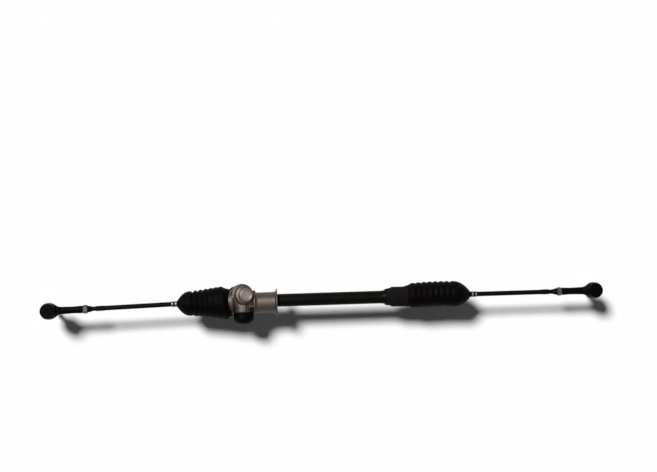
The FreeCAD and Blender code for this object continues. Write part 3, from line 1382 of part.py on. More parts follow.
class Side:
    """One end of the gear: its name, its ball's place and its rod's direction."""

    def __init__(self, name, ball_x, turn_deg, droop_deg):
        self.name = name
        ball = FreeCAD.Vector(ball_x, RACK_Y, 0)
        straight = FreeCAD.Rotation(Z_DIR, turn_deg)
        drooped = FreeCAD.Rotation(Z_DIR, turn_deg + droop_deg)
        self.socket_place = FreeCAD.Placement(ball, straight)
        self.rod_place = FreeCAD.Placement(ball, drooped)
        far_ball = ball + drooped.multVec(X_DIR * ROD_SPAN)
        self.end_place = FreeCAD.Placement(far_ball, drooped)

    def save_pieces(self):
        """Writes every piece of this end but the bellows."""
        for node, shape in (
            ("lock_washer", lock_washer()),
            ("inner_socket", inner_socket()),
        ):
            save(self.name + "_" + node, moved(shape, self.socket_place))
        for node, shape in (
            ("inner_seat", inner_seat()),
            ("tie_rod", tie_rod()),
            ("jam_nut", jam_nut()),
            ("boot_clip", boot_clip()),
        ):
            save(self.name + "_" + node, moved(shape, self.rod_place))
        for node, shape in (
            ("rod_end", rod_end()),
            ("end_plug", end_plug()),
            ("outer_seat", outer_seat()),
            ("ball_stud", ball_stud()),
            ("dust_boot", dust_boot()),
            ("dust_ring", dust_ring()),
        ):
            save(self.name + "_" + node, moved(shape, self.end_place))


def main():
    """Builds and writes every piece."""
    os.makedirs("parts", exist_ok=True)
    save("gear_housing", gear_housing())
    save("rack_tube", rack_tube())
    save("rack_bush", rack_bush())
    save("pinion_shaft", pinion_shaft())
    save("pinion_bush", pinion_bush())
    save("pinion_bearing_outer", pinion_bearing_outer())
    save("pinion_bearing_inner", pinion_bearing_inner())
    save("pinion_bearing_balls", pinion_bearing_balls())
    save("pinion_retainer", pinion_retainer())
    save("pinion_seal", pinion_seal())
    save("pinion_dust_cap", pinion_dust_cap())
    save("pinion_end_cap", pinion_end_cap())
    save("rack_guide", rack_guide())
    save("guide_liner", guide_liner())
    save("guide_spring", guide_spring())
    save("guide_plug", guide_plug())
    save("guide_lock_nut", guide_lock_nut())
    save("guide_cover", guide_cover())
    save("rack_bar", rack_bar())
    save("left_boot", left_boot())
    save("right_boot", right_boot())
    save("left_boot_band", left_boot_turn(worm_band(SPIGOT_R + LEFT_CUFF_WALL, LEFT_CUFF_MIDDLE)))
    right_band_x = RIGHT_BOOT_CUFF_FROM + RIGHT_BOOT_CUFF_LENGTH / 2
    save("right_boot_band", worm_band(TUBE_WIDE_R + RIGHT_CUFF_WALL, right_band_x))
    Side("left", LEFT_BALL_X, 180, LEFT_ROD_DROOP_DEG).save_pieces()
    Side("right", RIGHT_BALL_X, 0, 0).save_pieces()


main()
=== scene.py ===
"""Rack-and-pinion steering gear with its tie rods, dressed for a studio picture."""

import logging
import math
from dataclasses import dataclass
from enum import Enum
from functools import cache
from typing import Any, Callable, Iterable, Sequence

import bmesh
import bpy
from mathutils import Euler, Matrix, Vector


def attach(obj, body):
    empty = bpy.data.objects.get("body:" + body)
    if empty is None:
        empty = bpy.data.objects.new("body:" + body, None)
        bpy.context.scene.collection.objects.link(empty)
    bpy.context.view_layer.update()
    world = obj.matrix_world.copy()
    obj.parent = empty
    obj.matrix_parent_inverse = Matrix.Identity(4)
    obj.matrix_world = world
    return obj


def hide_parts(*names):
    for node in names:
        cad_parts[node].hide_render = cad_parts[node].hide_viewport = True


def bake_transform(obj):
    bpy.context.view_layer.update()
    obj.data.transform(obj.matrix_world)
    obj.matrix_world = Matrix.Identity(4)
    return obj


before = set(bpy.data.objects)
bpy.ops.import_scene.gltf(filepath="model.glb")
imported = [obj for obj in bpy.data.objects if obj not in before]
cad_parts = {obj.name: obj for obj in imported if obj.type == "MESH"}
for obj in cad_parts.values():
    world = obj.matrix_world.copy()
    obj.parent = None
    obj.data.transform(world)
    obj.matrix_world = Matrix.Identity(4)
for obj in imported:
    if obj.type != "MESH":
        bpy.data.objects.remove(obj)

LOG = logging.getLogger("steering_gear")
MM = 0.001
RACK_Y = 4.0
LEFT_BALL_X = -163.0
RIGHT_BALL_X = 424.0
ROD_SPAN = 307.0
LEFT_DROOP_DEG = 1.5
DOWN = Vector((0.0, 0.0, -1.0))
FLOAT, WHOLE = "NodeSocketFloat", "NodeSocketInt"
Profile = Sequence[tuple[float, float]]
Wiring = Callable[[bpy.types.NodeTree, bpy.types.Node], bpy.types.NodeSocket]

# What a noise or a bend has to reach before a finish answers to it
PATCH_SPAN = (0.3, 0.7)
# Bends of the mesh: inward ones get painted shade in the hollows, outward ones rubbed edges
HOLLOW_SPAN = (0.44, 0.50)
EDGE_SPAN = (0.52, 0.60)
HOLLOW_SHADE = 0.55
EDGE_SHARE = 0.35

# How near points are welded, how steep a crisp edge is, how far a smoothing round goes
WELD_MM = 0.001
CRISP_DEG = 35.0
SOFTENING = 0.5

# A thread's steps a turn, its ridge's sides, and where and how thin the ridge runs out
THREAD_STEPS = 24
RIDGE_SIDES = 6
RUN_OUT_SHARE = 0.04
RUN_OUT_SIZE = 0.1

# Folds of a plainly turned piece: none
NO_FOLDS = {"Folds": 0.0, "Fold_Start": 0.0, "Fold_End": 1.0, "Depth_Start": 0.0,
            "Depth_End": 0.0, "Depth_Below": 0.0}

# Outlines of the rubber flaps over the cuffs: place along X and radius
LEFT_FLAP: Profile = (
    (-79.5, 26.5), (-78.6, 27.2), (-79.4, 27.9), (-84.0, 28.9), (-88.0, 30.2), (-91.0, 31.5),
    (-93.5, 32.7), (-95.4, 33.7), (-97.0, 34.4), (-98.6, 34.3), (-99.0, 33.2), (-97.0, 32.4),
    (-95.0, 31.4), (-92.0, 29.6), (-88.5, 27.8), (-85.0, 26.5))
RIGHT_FLAP: Profile = (
    (262.0, 17.55), (269.0, 18.7), (275.0, 20.3), (276.2, 21.5), (278.0, 21.9), (290.0, 21.7),
    (303.0, 21.8), (308.0, 22.6), (312.0, 24.0), (312.0, 22.6), (306.0, 20.8), (276.4, 20.3),
    (275.2, 19.4), (274.8, 17.55))


class Surfacing(Enum):
    """How a finish's surface was made, which sets its relief."""

    CAST = "cast"
    TURNED = "turned"
    COATED = "coated"
    MOULDED = "moulded"


def linear(code: str) -> tuple[float, float, float, float]:
    """Turn an sRGB hex colour into linear light.

    Args:
        code: colour as "#RRGGBB".

    Returns:
        Linear red, green, blue and an alpha of 1.
    """
    values = [int(code[i:i + 2], 16) / 255 for i in (1, 3, 5)]
    light = [v / 12.92 if v <= 0.04045 else ((v + 0.055) / 1.055) ** 2.4 for v in values]
    return (light[0], light[1], light[2], 1.0)


def clamp(value: float) -> float:
    """Limit a value to the range from 0 to 1."""
    return min(max(value, 0.0), 1.0)


def mix(start: float, end: float, share: float) -> float:
    """Give the value at a share of the way between two others."""
    return start + (end - start) * share


def add_node(tree: bpy.types.NodeTree, kind: str, inputs: dict[Any, Any] | None = None,
             **settings: Any) -> bpy.types.Node:
    """Add a node, give it its settings and fill or link its inputs.

    Args:
        tree: node tree that gets the node.
        kind: the node's type name.
        inputs: socket name or number, and a value, a socket or a node to link.
        **settings: properties of the node itself.

    Returns:
        The new node.
    """
    node = tree.nodes.new(kind)
    for key, value in settings.items():
        setattr(node, key, value)
    for key, value in (inputs or {}).items():
        if isinstance(value, bpy.types.Node):
            value = next(s for s in value.outputs if s.enabled)
        if isinstance(value, bpy.types.NodeSocket):
            tree.links.new(value, node.inputs[key])
        else:
            node.inputs[key].default_value = value
    return node


@dataclass(frozen=True)
class Finish:
    """A finish of one surface, with its colours, gloss and relief.

    Attributes:
        colour: its lighter patches.
        shade: its darker patches.
        roughness_spread: how far the patches take the roughness up and down.
        patch_mm: width of the patches.
        grain_mm: width of the grain.
        relief_mm: height of the grain or the marks.
        worn_edges: colour of rubbed edges, empty where none are; these finishes also get painted
            shade in the hollows.
        painted_shade: share of the brightness that the painted shade leaves where it lies in full.
        painted_shade_up_to_mm: height below which the painted shade lies in full.
        unshaded_from_mm: height above which there is no painted shade.
        marks_mm: spacing of a turned surface's marks.
        streaks_per_m: how often the marks change across their run.
    """

    name: str
    colour: str
    shade: str
    surfacing: Surfacing
    metallic: float = 0.0
    roughness: float = 0.5
    roughness_spread: float = 0.1
    patch_mm: float = 18.0
    grain_mm: float = 1.2
    relief_mm: float = 0.05
    ior: float = 1.5
    specular: float = 0.5
    worn_edges: str = ""
    # Painted shade: below a given height the colour is darkened to this share of its brightness
    painted_shade: float = 1.0
    painted_shade_up_to_mm: float = 26.0
    unshaded_from_mm: float = 38.0
    marks_mm: float = 1.6
    streaks_per_m: float = 12.0

    @cache
    def material(self) -> bpy.types.Material:
        """Build the finish's material, once.

        Returns:
            The new material.
        """
        made = bpy.data.materials.new(self.name)
        made.use_nodes = True
        tree = made.node_tree
        tree.nodes.clear()
        place = add_node(tree, "ShaderNodeTexCoord").outputs["Object"]
        patches = add_node(tree, "ShaderNodeTexNoise", {
            "Vector": place, "Scale": 1 / (self.patch_mm * MM), "Detail": 4.0, "Roughness": 0.6})
        colour = add_node(tree, "ShaderNodeMix", {
            0: patches.outputs[0], 6: linear(self.shade), 7: linear(self.colour)},
            data_type="RGBA").outputs[2]
        # Rubbed edges, and painted shade in the hollows
        if self.worn_edges:
            colour = self.wear_and_painted_shade(tree, colour)
        # Painted shade: the colour is darkened below a given height, fading out above it
        if self.painted_shade < 1.0:
            height = add_node(tree, "ShaderNodeSeparateXYZ", {0: place}).outputs["Z"]
            height_shade = add_node(tree, "ShaderNodeMapRange", {
                "Value": height, "From Min": self.painted_shade_up_to_mm * MM,
                "From Max": self.unshaded_from_mm * MM, "To Min": self.painted_shade})
            colour = add_node(tree, "ShaderNodeVectorMath", {0: colour, "Scale": height_shade},
                              operation="SCALE").outputs[0]
        rough = add_node(tree, "ShaderNodeMapRange", {
            "Value": patches.outputs[0], "From Min": PATCH_SPAN[0], "From Max": PATCH_SPAN[1],
            "To Min": self.roughness - self.roughness_spread,
            "To Max": self.roughness + self.roughness_spread})
        shader = add_node(tree, "ShaderNodeBsdfPrincipled", {
            "Base Color": colour, "Metallic": self.metallic, "Roughness": rough,
            "IOR": self.ior, "Specular IOR Level": self.specular,
            "Normal": self.relief(tree, place)})
        add_node(tree, "ShaderNodeOutputMaterial", {"Surface": shader.outputs[0]})
        return made

    def wear_and_painted_shade(self, tree: bpy.types.NodeTree, colour: bpy.types.NodeSocket) -> bpy.types.NodeSocket:
        """Rub the raised edges paler and darken the hollows with painted shade.

        Args:
            tree: the material's nodes.
            colour: colour before the rubbed edges and the painted shade.

        Returns:
            Colour with rubbed edges and painted shade in the hollows.
        """
        bend = add_node(tree, "ShaderNodeNewGeometry").outputs["Pointiness"]
        hollow_shade_factor = add_node(tree, "ShaderNodeMapRange", {
            "Value": bend, "From Min": HOLLOW_SPAN[0], "From Max": HOLLOW_SPAN[1],
            "To Min": HOLLOW_SHADE})
        edge = add_node(tree, "ShaderNodeMapRange", {
            "Value": bend, "From Min": EDGE_SPAN[0], "From Max": EDGE_SPAN[1],
            "To Max": EDGE_SHARE})
        # Painted shade: the hollows' colour is darkened
        painted_hollow_shade = add_node(tree, "ShaderNodeVectorMath", {0: colour, "Scale": hollow_shade_factor},
                        operation="SCALE")
        rubbed_and_shaded = add_node(tree, "ShaderNodeMix", {
            0: edge, 6: painted_hollow_shade.outputs[0], 7: linear(self.worn_edges)}, data_type="RGBA")
        return rubbed_and_shaded.outputs[2]

    def relief(self, tree: bpy.types.NodeTree, place: bpy.types.NodeSocket) -> bpy.types.NodeSocket:
        """Add the surface's fine relief.

        Args:
            tree: the material's nodes.
            place: object coordinates.

        Returns:
            The bumped normal.
        """
        if self.surfacing is Surfacing.TURNED:
            scale = (1 / (self.marks_mm * MM), self.streaks_per_m, self.streaks_per_m)
            stretch = add_node(tree, "ShaderNodeMapping", {"Vector": place, "Scale": scale})
            grain = add_node(tree, "ShaderNodeTexNoise", {
                "Vector": stretch, "Scale": 1.0, "Detail": 3.0})
        else:
            detail = 6.0 if self.surfacing is Surfacing.CAST else 2.0
            grain = add_node(tree, "ShaderNodeTexNoise", {
                "Vector": place, "Scale": 1 / (self.grain_mm * MM), "Detail": detail})
        bump = add_node(tree, "ShaderNodeBump", {
            "Height": grain.outputs[0], "Strength": 1.0, "Distance": self.relief_mm * MM})
        return bump.outputs[0]


# Grit, orange peel and turning marks of these surfaces are 0.1 to 0.8 mm wide, too fine to show
# at about 2 mm a pixel. So each grain and mark below is drawn as coarse as it needs to show.

# Sand-blasted cast aluminium: warm grey, dull, with a pebbled skin and rubbed edges; painted
# shade darkens its hollows and all but the tower's top, which keeps its full brightness
CAST_ALUMINIUM = Finish("cast_aluminium", "#A2938D", "#8B7D76", Surfacing.CAST, metallic=1.0,
                        roughness=0.56, grain_mm=2.4, relief_mm=0.16, worn_edges="#AE9F97",
                        painted_shade=0.38)
# Cap turned from aluminium bar: paler than the casting, with a faint grain
MACHINED_CAP = Finish("turned_aluminium", "#BCAEAC", "#A69896", Surfacing.CAST, metallic=1.0,
                      roughness=0.42, grain_mm=3.0, relief_mm=0.05)
# Stoved black paint on steel: almost black, half matt, slight orange peel
BLACK_PAINT = Finish("stoved_black_paint", "#0D0A06", "#070503", Surfacing.COATED, roughness=0.44,
                     grain_mm=3.5, relief_mm=0.03, specular=0.05)
# Forging blackened by its heat treatment and oiled
BLACK_FORGING = Finish("blackened_forging", "#060302", "#020100", Surfacing.CAST, roughness=0.4,
                       grain_mm=3.0, relief_mm=0.08, specular=0.04)
# Ground and oiled bar steel
BAR_STEEL = Finish("ground_bar_steel", "#A7A6A3", "#8C8B89", Surfacing.TURNED, metallic=1.0,
                   roughness=0.3, relief_mm=0.02, marks_mm=1.8)
# Clear zinc plate over steel: grey with a faint warm bloom
ZINC_PLATE = Finish("clear_zinc_plate", "#9C9A98", "#7E7B79", Surfacing.COATED, metallic=1.0,
                    roughness=0.38, grain_mm=2.0, relief_mm=0.03, patch_mm=6.0)
# Phosphated nut: dull brown grey
PHOSPHATED_STEEL = Finish("phosphated_steel", "#625B55", "#4E4843", Surfacing.COATED, metallic=1.0,
                          roughness=0.5, grain_mm=2.0, relief_mm=0.04, patch_mm=6.0)
# Chemically blackened band steel
BLACK_BAND = Finish("blackened_band_steel", "#121110", "#0C0B0B", Surfacing.COATED, roughness=0.5,
                    grain_mm=2.0, relief_mm=0.02, specular=0.1)
# Moulded bellows rubber: deep black and matt, with a faint bloom
BLACK_RUBBER = Finish("moulded_nitrile_rubber", "#050302", "#010000", Surfacing.MOULDED,
                      roughness=0.6, grain_mm=2.2, relief_mm=0.05, ior=1.52, specular=0.04)
# Rubber of the cuff's flap: a shade greyer, from dust
DUSTY_RUBBER = Finish("dusty_nitrile_rubber", "#151312", "#0F0D0C", Surfacing.MOULDED,
                      roughness=0.75, grain_mm=2.6, relief_mm=0.06, ior=1.52, specular=0.05)
# Acetal ball seat: ivory, waxy
SEAT_POLYMER = Finish("acetal", "#D6CFBE", "#C8C0AE", Surfacing.MOULDED, roughness=0.4,
                      grain_mm=4.0, relief_mm=0.02)
# Sintered bronze bush: brown gold, dull
BUSH_BRONZE = Finish("sintered_bronze", "#A8824F", "#8E6B3F", Surfacing.TURNED, metallic=1.0,
                     roughness=0.42, relief_mm=0.02)
# Pressure-cast yoke, machined on its barrel
GUIDE_CASTING = Finish("pressure_cast_yoke", "#9D9A96", "#838079", Surfacing.CAST, metallic=1.0,
                       roughness=0.4, grain_mm=2.0, relief_mm=0.05)


class NodeRecipe:
    """A geometry node tree with named inputs, which turns one mesh into another."""

    def __init__(self, name: str, inputs: dict[str, str], wiring: Wiring) -> None:
        """Build the tree.

        Args:
            name: the tree's name.
            inputs: name and socket type of each size.
            wiring: adds the nodes between the inputs and the finished geometry.
        """
        self.tree = bpy.data.node_groups.new(name, "GeometryNodeTree")
        face = self.tree.interface
        face.new_socket(name="Geometry", in_out="INPUT", socket_type="NodeSocketGeometry")
        self.sockets: dict[str, str] = {}
        for label, kind in {**inputs, "Finish": "NodeSocketMaterial"}.items():
            socket = face.new_socket(name=label, in_out="INPUT", socket_type=kind)
            self.sockets[label] = socket.identifier
        face.new_socket(name="Geometry", in_out="OUTPUT", socket_type="NodeSocketGeometry")
        given = self.tree.nodes.new("NodeGroupInput")
        shape = wiring(self.tree, given)
        real = add_node(self.tree, "GeometryNodeRealizeInstances", {0: shape})
        dressed = add_node(self.tree, "GeometryNodeSetMaterial", {
            "Geometry": real.outputs[0], "Material": given.outputs["Finish"]})
        add_node(self.tree, "NodeGroupOutput", {0: dressed.outputs[0]})

    def make(self, name: str, source: bpy.types.Mesh, finish: Finish,
             **sizes: Any) -> bpy.types.Object:
        """Run the tree on a mesh and keep the result as a plain mesh.

        Args:
            name: the new object's name.
            source: mesh that goes in.
            finish: what the piece is made of.
            **sizes: the tree's inputs, with underscores for spaces.

        Returns:
            The new object, at the origin.
        """
        maker = bpy.data.objects.new(name + "_maker", source)
        bpy.context.scene.collection.objects.link(maker)
        modifier = maker.modifiers.new("recipe", "NODES")
        modifier.node_group = self.tree
        modifier[self.sockets["Finish"]] = finish.material()
        for label, value in sizes.items():
            modifier[self.sockets[label.replace("_", " ")]] = value
        mesh = evaluated(maker)
        bpy.data.objects.remove(maker)
        return new_piece(name, mesh, finish)


def evaluated(piece: bpy.types.Object) -> bpy.types.Mesh:
    """Run a piece's modifiers.

    Args:
        piece: the object with its modifiers.

    Returns:
        The mesh that comes out.
    """
    bpy.context.view_layer.update()
    ready = piece.evaluated_get(bpy.context.evaluated_depsgraph_get())
    return bpy.data.meshes.new_from_object(ready)


def new_piece(name: str, mesh: bpy.types.Mesh, finish: Finish) -> bpy.types.Object:
    """Link a mesh into the scene as an object of its own.

    Args:
        name: the object's name.
        mesh: its mesh, in metres and in place.
        finish: what it is made of.

    Returns:
        The object.
    """
    mesh.name = name
    if not mesh.materials:
        mesh.materials.append(finish.material())
    mesh.materials[0] = finish.material()
    piece = bpy.data.objects.new(name, mesh)
    bpy.context.scene.collection.objects.link(piece)
    LOG.info("made %s in %s", name, finish.name)
    return piece


def tidy_mesh(mesh: bpy.types.Mesh, close: bool = True) -> None:
    """Weld doubles, close open ends, turn the faces outwards and shade them smooth.

    Args:
        mesh: the mesh to tidy.
        close: whether open ends get a face.
    """
    work = bmesh.new()
    work.from_mesh(mesh)
    bmesh.ops.remove_doubles(work, verts=work.verts, dist=WELD_MM * MM)
    if close:
        bmesh.ops.holes_fill(work, edges=[e for e in work.edges if e.is_boundary])
    bmesh.ops.recalc_face_normals(work, faces=work.faces)
    for face in work.faces:
        face.smooth = True
    work.to_mesh(mesh)
    work.free()


def sharpen(mesh: bpy.types.Mesh) -> None:
    """Keep steep edges crisp.

    Args:
        mesh: the mesh whose edges are marked.
    """
    work = bmesh.new()
    work.from_mesh(mesh)
    for edge in work.edges:
        if edge.calc_face_angle(0.0) > math.radians(CRISP_DEG):
            edge.smooth = False
    work.to_mesh(mesh)
    work.free()


def points_mesh(name: str, points: Profile) -> bpy.types.Mesh:
    """Make a mesh of an outline's points, without edges or faces.

    Args:
        name: the mesh's name.
        points: distance along X and radius of each point, in millimetres.

    Returns:
        The mesh, in metres.
    """
    mesh = bpy.data.meshes.new(name)
    mesh.from_pydata([(x * MM, r * MM, 0.0) for x, r in points], [], [])
    return mesh


def placement(at: Vector, along: Vector) -> Matrix:
    """Matrix that takes the X axis through the origin to an axis elsewhere.

    Args:
        at: a point in millimetres that the origin goes to.
        along: the direction that X goes to.

    Returns:
        The matrix, in metres.
    """
    turn = Vector((1, 0, 0)).rotation_difference(along).to_matrix().to_4x4()
    return Matrix.Translation(at * MM) @ turn


def wire_lathe(tree: bpy.types.NodeTree, given: bpy.types.Node) -> bpy.types.NodeSocket:
    """Turn an outline round the X axis, with folds whose depth changes along it and round it.

    Args:
        tree: the tree that gets the nodes.
        given: the tree's inputs.

    Returns:
        The turned mesh.
    """
    outline = given.outputs["Geometry"]
    count = add_node(tree, "GeometryNodeAttributeDomainSize", {0: outline}).outputs[0]
    last = add_node(tree, "ShaderNodeMath", {0: count, 1: 1.0}, operation="SUBTRACT")
    grid = add_node(tree, "GeometryNodeMeshGrid", {
        "Size X": last, "Size Y": 2 * math.pi, "Vertices X": count,
        "Vertices Y": given.outputs["Rings"]})
    here = add_node(tree, "GeometryNodeInputPosition")
    spot = add_node(tree, "ShaderNodeSeparateXYZ", {0: here})
    half = add_node(tree, "ShaderNodeMath", {0: last, 1: 0.5, 2: 0.5}, operation="MULTIPLY_ADD")
    place = add_node(tree, "ShaderNodeMath", {0: spot.outputs["X"], 1: half}, operation="ADD")
    row = add_node(tree, "ShaderNodeMath", {0: place}, operation="FLOOR")
    point = add_node(tree, "GeometryNodeSampleIndex", {
        "Geometry": outline, "Value": here, "Index": row}, data_type="FLOAT_VECTOR", domain="POINT")
    parts = add_node(tree, "ShaderNodeSeparateXYZ", {0: point})
    share = add_node(tree, "ShaderNodeMapRange", {
        "Value": parts.outputs["X"], "From Min": given.outputs["Fold Start"],
        "From Max": given.outputs["Fold End"]})
    phase = add_node(tree, "ShaderNodeMath", {0: share, 1: given.outputs["Folds"]},
                     operation="MULTIPLY")
    swing = add_node(tree, "ShaderNodeMath", {0: phase, 1: math.pi}, operation="MULTIPLY")
    wave = add_node(tree, "ShaderNodeMath", {0: swing}, operation="COSINE")
    crest = add_node(tree, "ShaderNodeMath", {0: wave}, operation="ABSOLUTE")
    valley = add_node(tree, "ShaderNodeMath", {0: 1.0, 1: crest}, operation="SUBTRACT")
    depth = add_node(tree, "ShaderNodeMapRange", {
        "Value": share, "To Min": given.outputs["Depth Start"],
        "To Max": given.outputs["Depth End"]})
    upward = add_node(tree, "ShaderNodeMath", {0: spot.outputs["Y"]}, operation="COSINE")
    weight = add_node(tree, "ShaderNodeMapRange", {
        "Value": upward, "From Min": -1.0, "To Min": given.outputs["Depth Below"]})
    deep = add_node(tree, "ShaderNodeMath", {0: depth, 1: weight}, operation="MULTIPLY")
    notch = add_node(tree, "ShaderNodeMath", {0: valley, 1: deep}, operation="MULTIPLY")
    radius = add_node(tree, "ShaderNodeMath", {0: parts.outputs["Y"], 1: notch},
                      operation="SUBTRACT")
    flat = add_node(tree, "ShaderNodeCombineXYZ", {0: parts.outputs["X"], 1: radius})
    turned = add_node(tree, "ShaderNodeVectorRotate", {
        "Vector": flat, "Angle": spot.outputs["Y"]}, rotation_type="X_AXIS")
    moved = add_node(tree, "GeometryNodeSetPosition", {
        "Geometry": grid.outputs[0], "Position": turned})
    welded = add_node(tree, "GeometryNodeMergeByDistance", {
        "Geometry": moved, "Distance": WELD_MM * MM})
    return welded.outputs[0]


def wire_thread(tree: bpy.types.NodeTree, given: bpy.types.Node) -> bpy.types.NodeSocket:
    """Wind a thread's ridge round the X axis, running out at both ends.

    Args:
        tree: the tree that gets the nodes.
        given: the tree's inputs.

    Returns:
        The ridge.
    """
    length, root = given.outputs["Length"], given.outputs["Root"]
    turns = add_node(tree, "ShaderNodeMath", {0: length, 1: given.outputs["Pitch"]},
                     operation="DIVIDE")
    coil = add_node(tree, "GeometryNodeCurveSpiral", {
        "Resolution": THREAD_STEPS, "Rotations": turns, "Start Radius": root,
        "End Radius": root, "Height": length})
    way = add_node(tree, "GeometryNodeSplineParameter").outputs["Factor"]
    near = add_node(tree, "ShaderNodeMath", {0: way, 1: 0.5}, operation="PINGPONG")
    fade = add_node(tree, "ShaderNodeMapRange", {
        "Value": near, "From Max": RUN_OUT_SHARE, "To Min": RUN_OUT_SIZE})
    rolled = add_node(tree, "GeometryNodeSetCurveRadius", {"Curve": coil, "Radius": fade})
    bead = add_node(tree, "GeometryNodeCurvePrimitiveCircle", {
        "Resolution": RIDGE_SIDES, "Radius": given.outputs["Depth"]})
    ridge = add_node(tree, "GeometryNodeCurveToMesh", {
        "Curve": rolled, "Profile Curve": bead, "Fill Caps": True})
    laid = add_node(tree, "GeometryNodeTransform", {
        "Geometry": ridge, "Rotation": (0.0, math.pi / 2, 0.0)})
    return laid.outputs[0]


LATHE = NodeRecipe("lathe", {
    "Rings": WHOLE, "Folds": FLOAT, "Fold Start": FLOAT, "Fold End": FLOAT,
    "Depth Start": FLOAT, "Depth End": FLOAT, "Depth Below": FLOAT}, wire_lathe)
THREAD = NodeRecipe("thread", {
    "Length": FLOAT, "Pitch": FLOAT, "Root": FLOAT, "Depth": FLOAT}, wire_thread)


def lathe(name: str, outline: Profile, finish: Finish, where: Matrix, segments: int = 64,
          closed: bool = True, crisp: bool = True) -> bpy.types.Object:
    """Turn an outline in millimetres into a piece.

    Args:
        name: the piece's name.
        outline: distance along the axis and radius of each point.
        finish: what it is made of.
        where: takes the X axis to the piece's own axis.
        segments: faces round the axis.
        closed: whether the outline's last point joins its first.
        crisp: whether steep edges stay sharp.

    Returns:
        The piece.
    """
    points = list(outline) + ([outline[0]] if closed else [])
    piece = LATHE.make(name, points_mesh(name, points), finish, Rings=segments + 1, **NO_FOLDS)
    tidy_mesh(piece.data, close=not closed)
    if crisp:
        sharpen(piece.data)
    piece.data.transform(where)
    return piece


def wind(name: str, finish: Finish, where: Matrix, length: float, pitch: float, root: float,
         depth: float) -> bpy.types.Object:
    """Wind a thread's ridge, in millimetres, round an axis.

    Args:
        name: the piece's name.
        finish: what it is made of.
        where: takes the X axis to the thread's own axis and start.
        length: the thread's length.
        pitch: its rise in one turn.
        root: radius of the ridge's middle.
        depth: the ridge's own radius.

    Returns:
        The piece.
    """
    piece = THREAD.make(name, points_mesh("seed", [(0, 0)]), finish, Length=length * MM,
                        Pitch=pitch * MM, Root=root * MM, Depth=depth * MM)
    tidy_mesh(piece.data)
    piece.data.transform(where)
    return piece


def dress(finish: Finish, *nodes: str) -> None:
    """Give CAD nodes their finish.

    Args:
        finish: what they are made of.
        *nodes: names of the nodes.
    """
    for node in nodes:
        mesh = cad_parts[node].data
        if not mesh.materials:
            mesh.materials.append(finish.material())
        for index in range(len(mesh.materials)):
            mesh.materials[index] = finish.material()
        LOG.info("dressed %s in %s", node, finish.name)


def recast(name: str, node: str, finish: Finish, body: str, voxel_mm: float,
           rounds: int) -> bpy.types.Object:
    """Stand a cast or forged skin, with soft inner corners, in for a CAD node.

    Args:
        name: the new piece's name.
        node: the CAD node that it stands for.
        finish: what it is made of.
        body: the body that it rides.
        voxel_mm: size of the skin's cells.
        rounds: how many times the skin is smoothed.

    Returns:
        The new piece.
    """
    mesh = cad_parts[node].data.copy()
    tidy_mesh(mesh, close=False)
    piece = new_piece(name, mesh, finish)
    cells = piece.modifiers.new("cells", "REMESH")
    cells.mode, cells.voxel_size = "VOXEL", voxel_mm * MM
    soft = piece.modifiers.new("soft", "SMOOTH")
    soft.factor, soft.iterations = SOFTENING, rounds
    piece.data = evaluated(piece)
    piece.modifiers.clear()
    piece.data.name = name
    piece.data.materials.clear()
    piece.data.materials.append(finish.material())
    piece.data.polygons.foreach_set("use_smooth", [True] * len(piece.data.polygons))
    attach(piece, body)
    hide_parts(node)
    LOG.info("%s: %d faces", name, len(piece.data.polygons))
    return piece


@dataclass
class Housing:
    """Cast gear housing with its pinion tower, clamp neck and pressed-in cap."""

    voxel_mm: float = 1.05
    rounds: int = 3
    bore_r: float = 18.3
    bore_floor: float = -86.3

    def build(self) -> None:
        """Stand the cast skin in for the plain solid."""
        skin = recast("housing_casting", "gear_housing", CAST_ALUMINIUM, "gear_body",
                      self.voxel_mm, self.rounds)
        self.clear_bore(skin.data)

    def clear_bore(self, mesh: bpy.types.Mesh) -> None:
        """Press the softened corner out of the bore that the lock washer dips into.

        Args:
            mesh: the cast skin.
        """
        for vertex in mesh.vertices:
            x, y, z = vertex.co / MM
            radius = math.hypot(y - RACK_Y, z)
            ahead, inside = self.bore_floor - x, self.bore_r - radius
            if ahead > 0 and inside > 0 and inside < ahead:
                vertex.co.y = (RACK_Y + (y - RACK_Y) * self.bore_r / radius) * MM
                vertex.co.z = z * self.bore_r / radius * MM
            elif ahead > 0 and inside > 0:
                vertex.co.x = self.bore_floor * MM

    def dress(self) -> None:
        """Finish the cap."""
        dress(MACHINED_CAP, "pinion_end_cap")


@dataclass
class RackUnit:
    """Rack bar in its tube, with the inner joints' sockets and seats."""

    def dress(self) -> None:
        """Finish the tube, the bar and the joints."""
        dress(BLACK_PAINT, "rack_tube")
        dress(BUSH_BRONZE, "rack_bush")
        dress(BAR_STEEL, "rack_bar", "left_inner_socket", "right_inner_socket")
        dress(ZINC_PLATE, "left_lock_washer", "right_lock_washer")
        dress(SEAT_POLYMER, "left_inner_seat", "right_inner_seat")


@dataclass
class PinionUnit:
    """Pinion with its bearings, seal and dust cap."""

    def dress(self) -> None:
        """Finish the shaft and what carries it."""
        dress(BAR_STEEL, "pinion_shaft", "pinion_bearing_outer", "pinion_bearing_inner",
              "pinion_bearing_balls")
        dress(BUSH_BRONZE, "pinion_bush")
        dress(ZINC_PLATE, "pinion_retainer")
        dress(BLACK_RUBBER, "pinion_seal", "pinion_dust_cap")


@dataclass
class GuideUnit:
    """Rack guide with its spring, plug, lock nut and cover."""

    def dress(self) -> None:
        """Finish the guide's pieces."""
        dress(GUIDE_CASTING, "rack_guide")
        dress(SEAT_POLYMER, "guide_liner")
        dress(BAR_STEEL, "guide_spring")
        dress(BLACK_PAINT, "guide_plug")
        dress(ZINC_PLATE, "guide_lock_nut")
        dress(BLACK_RUBBER, "guide_cover")


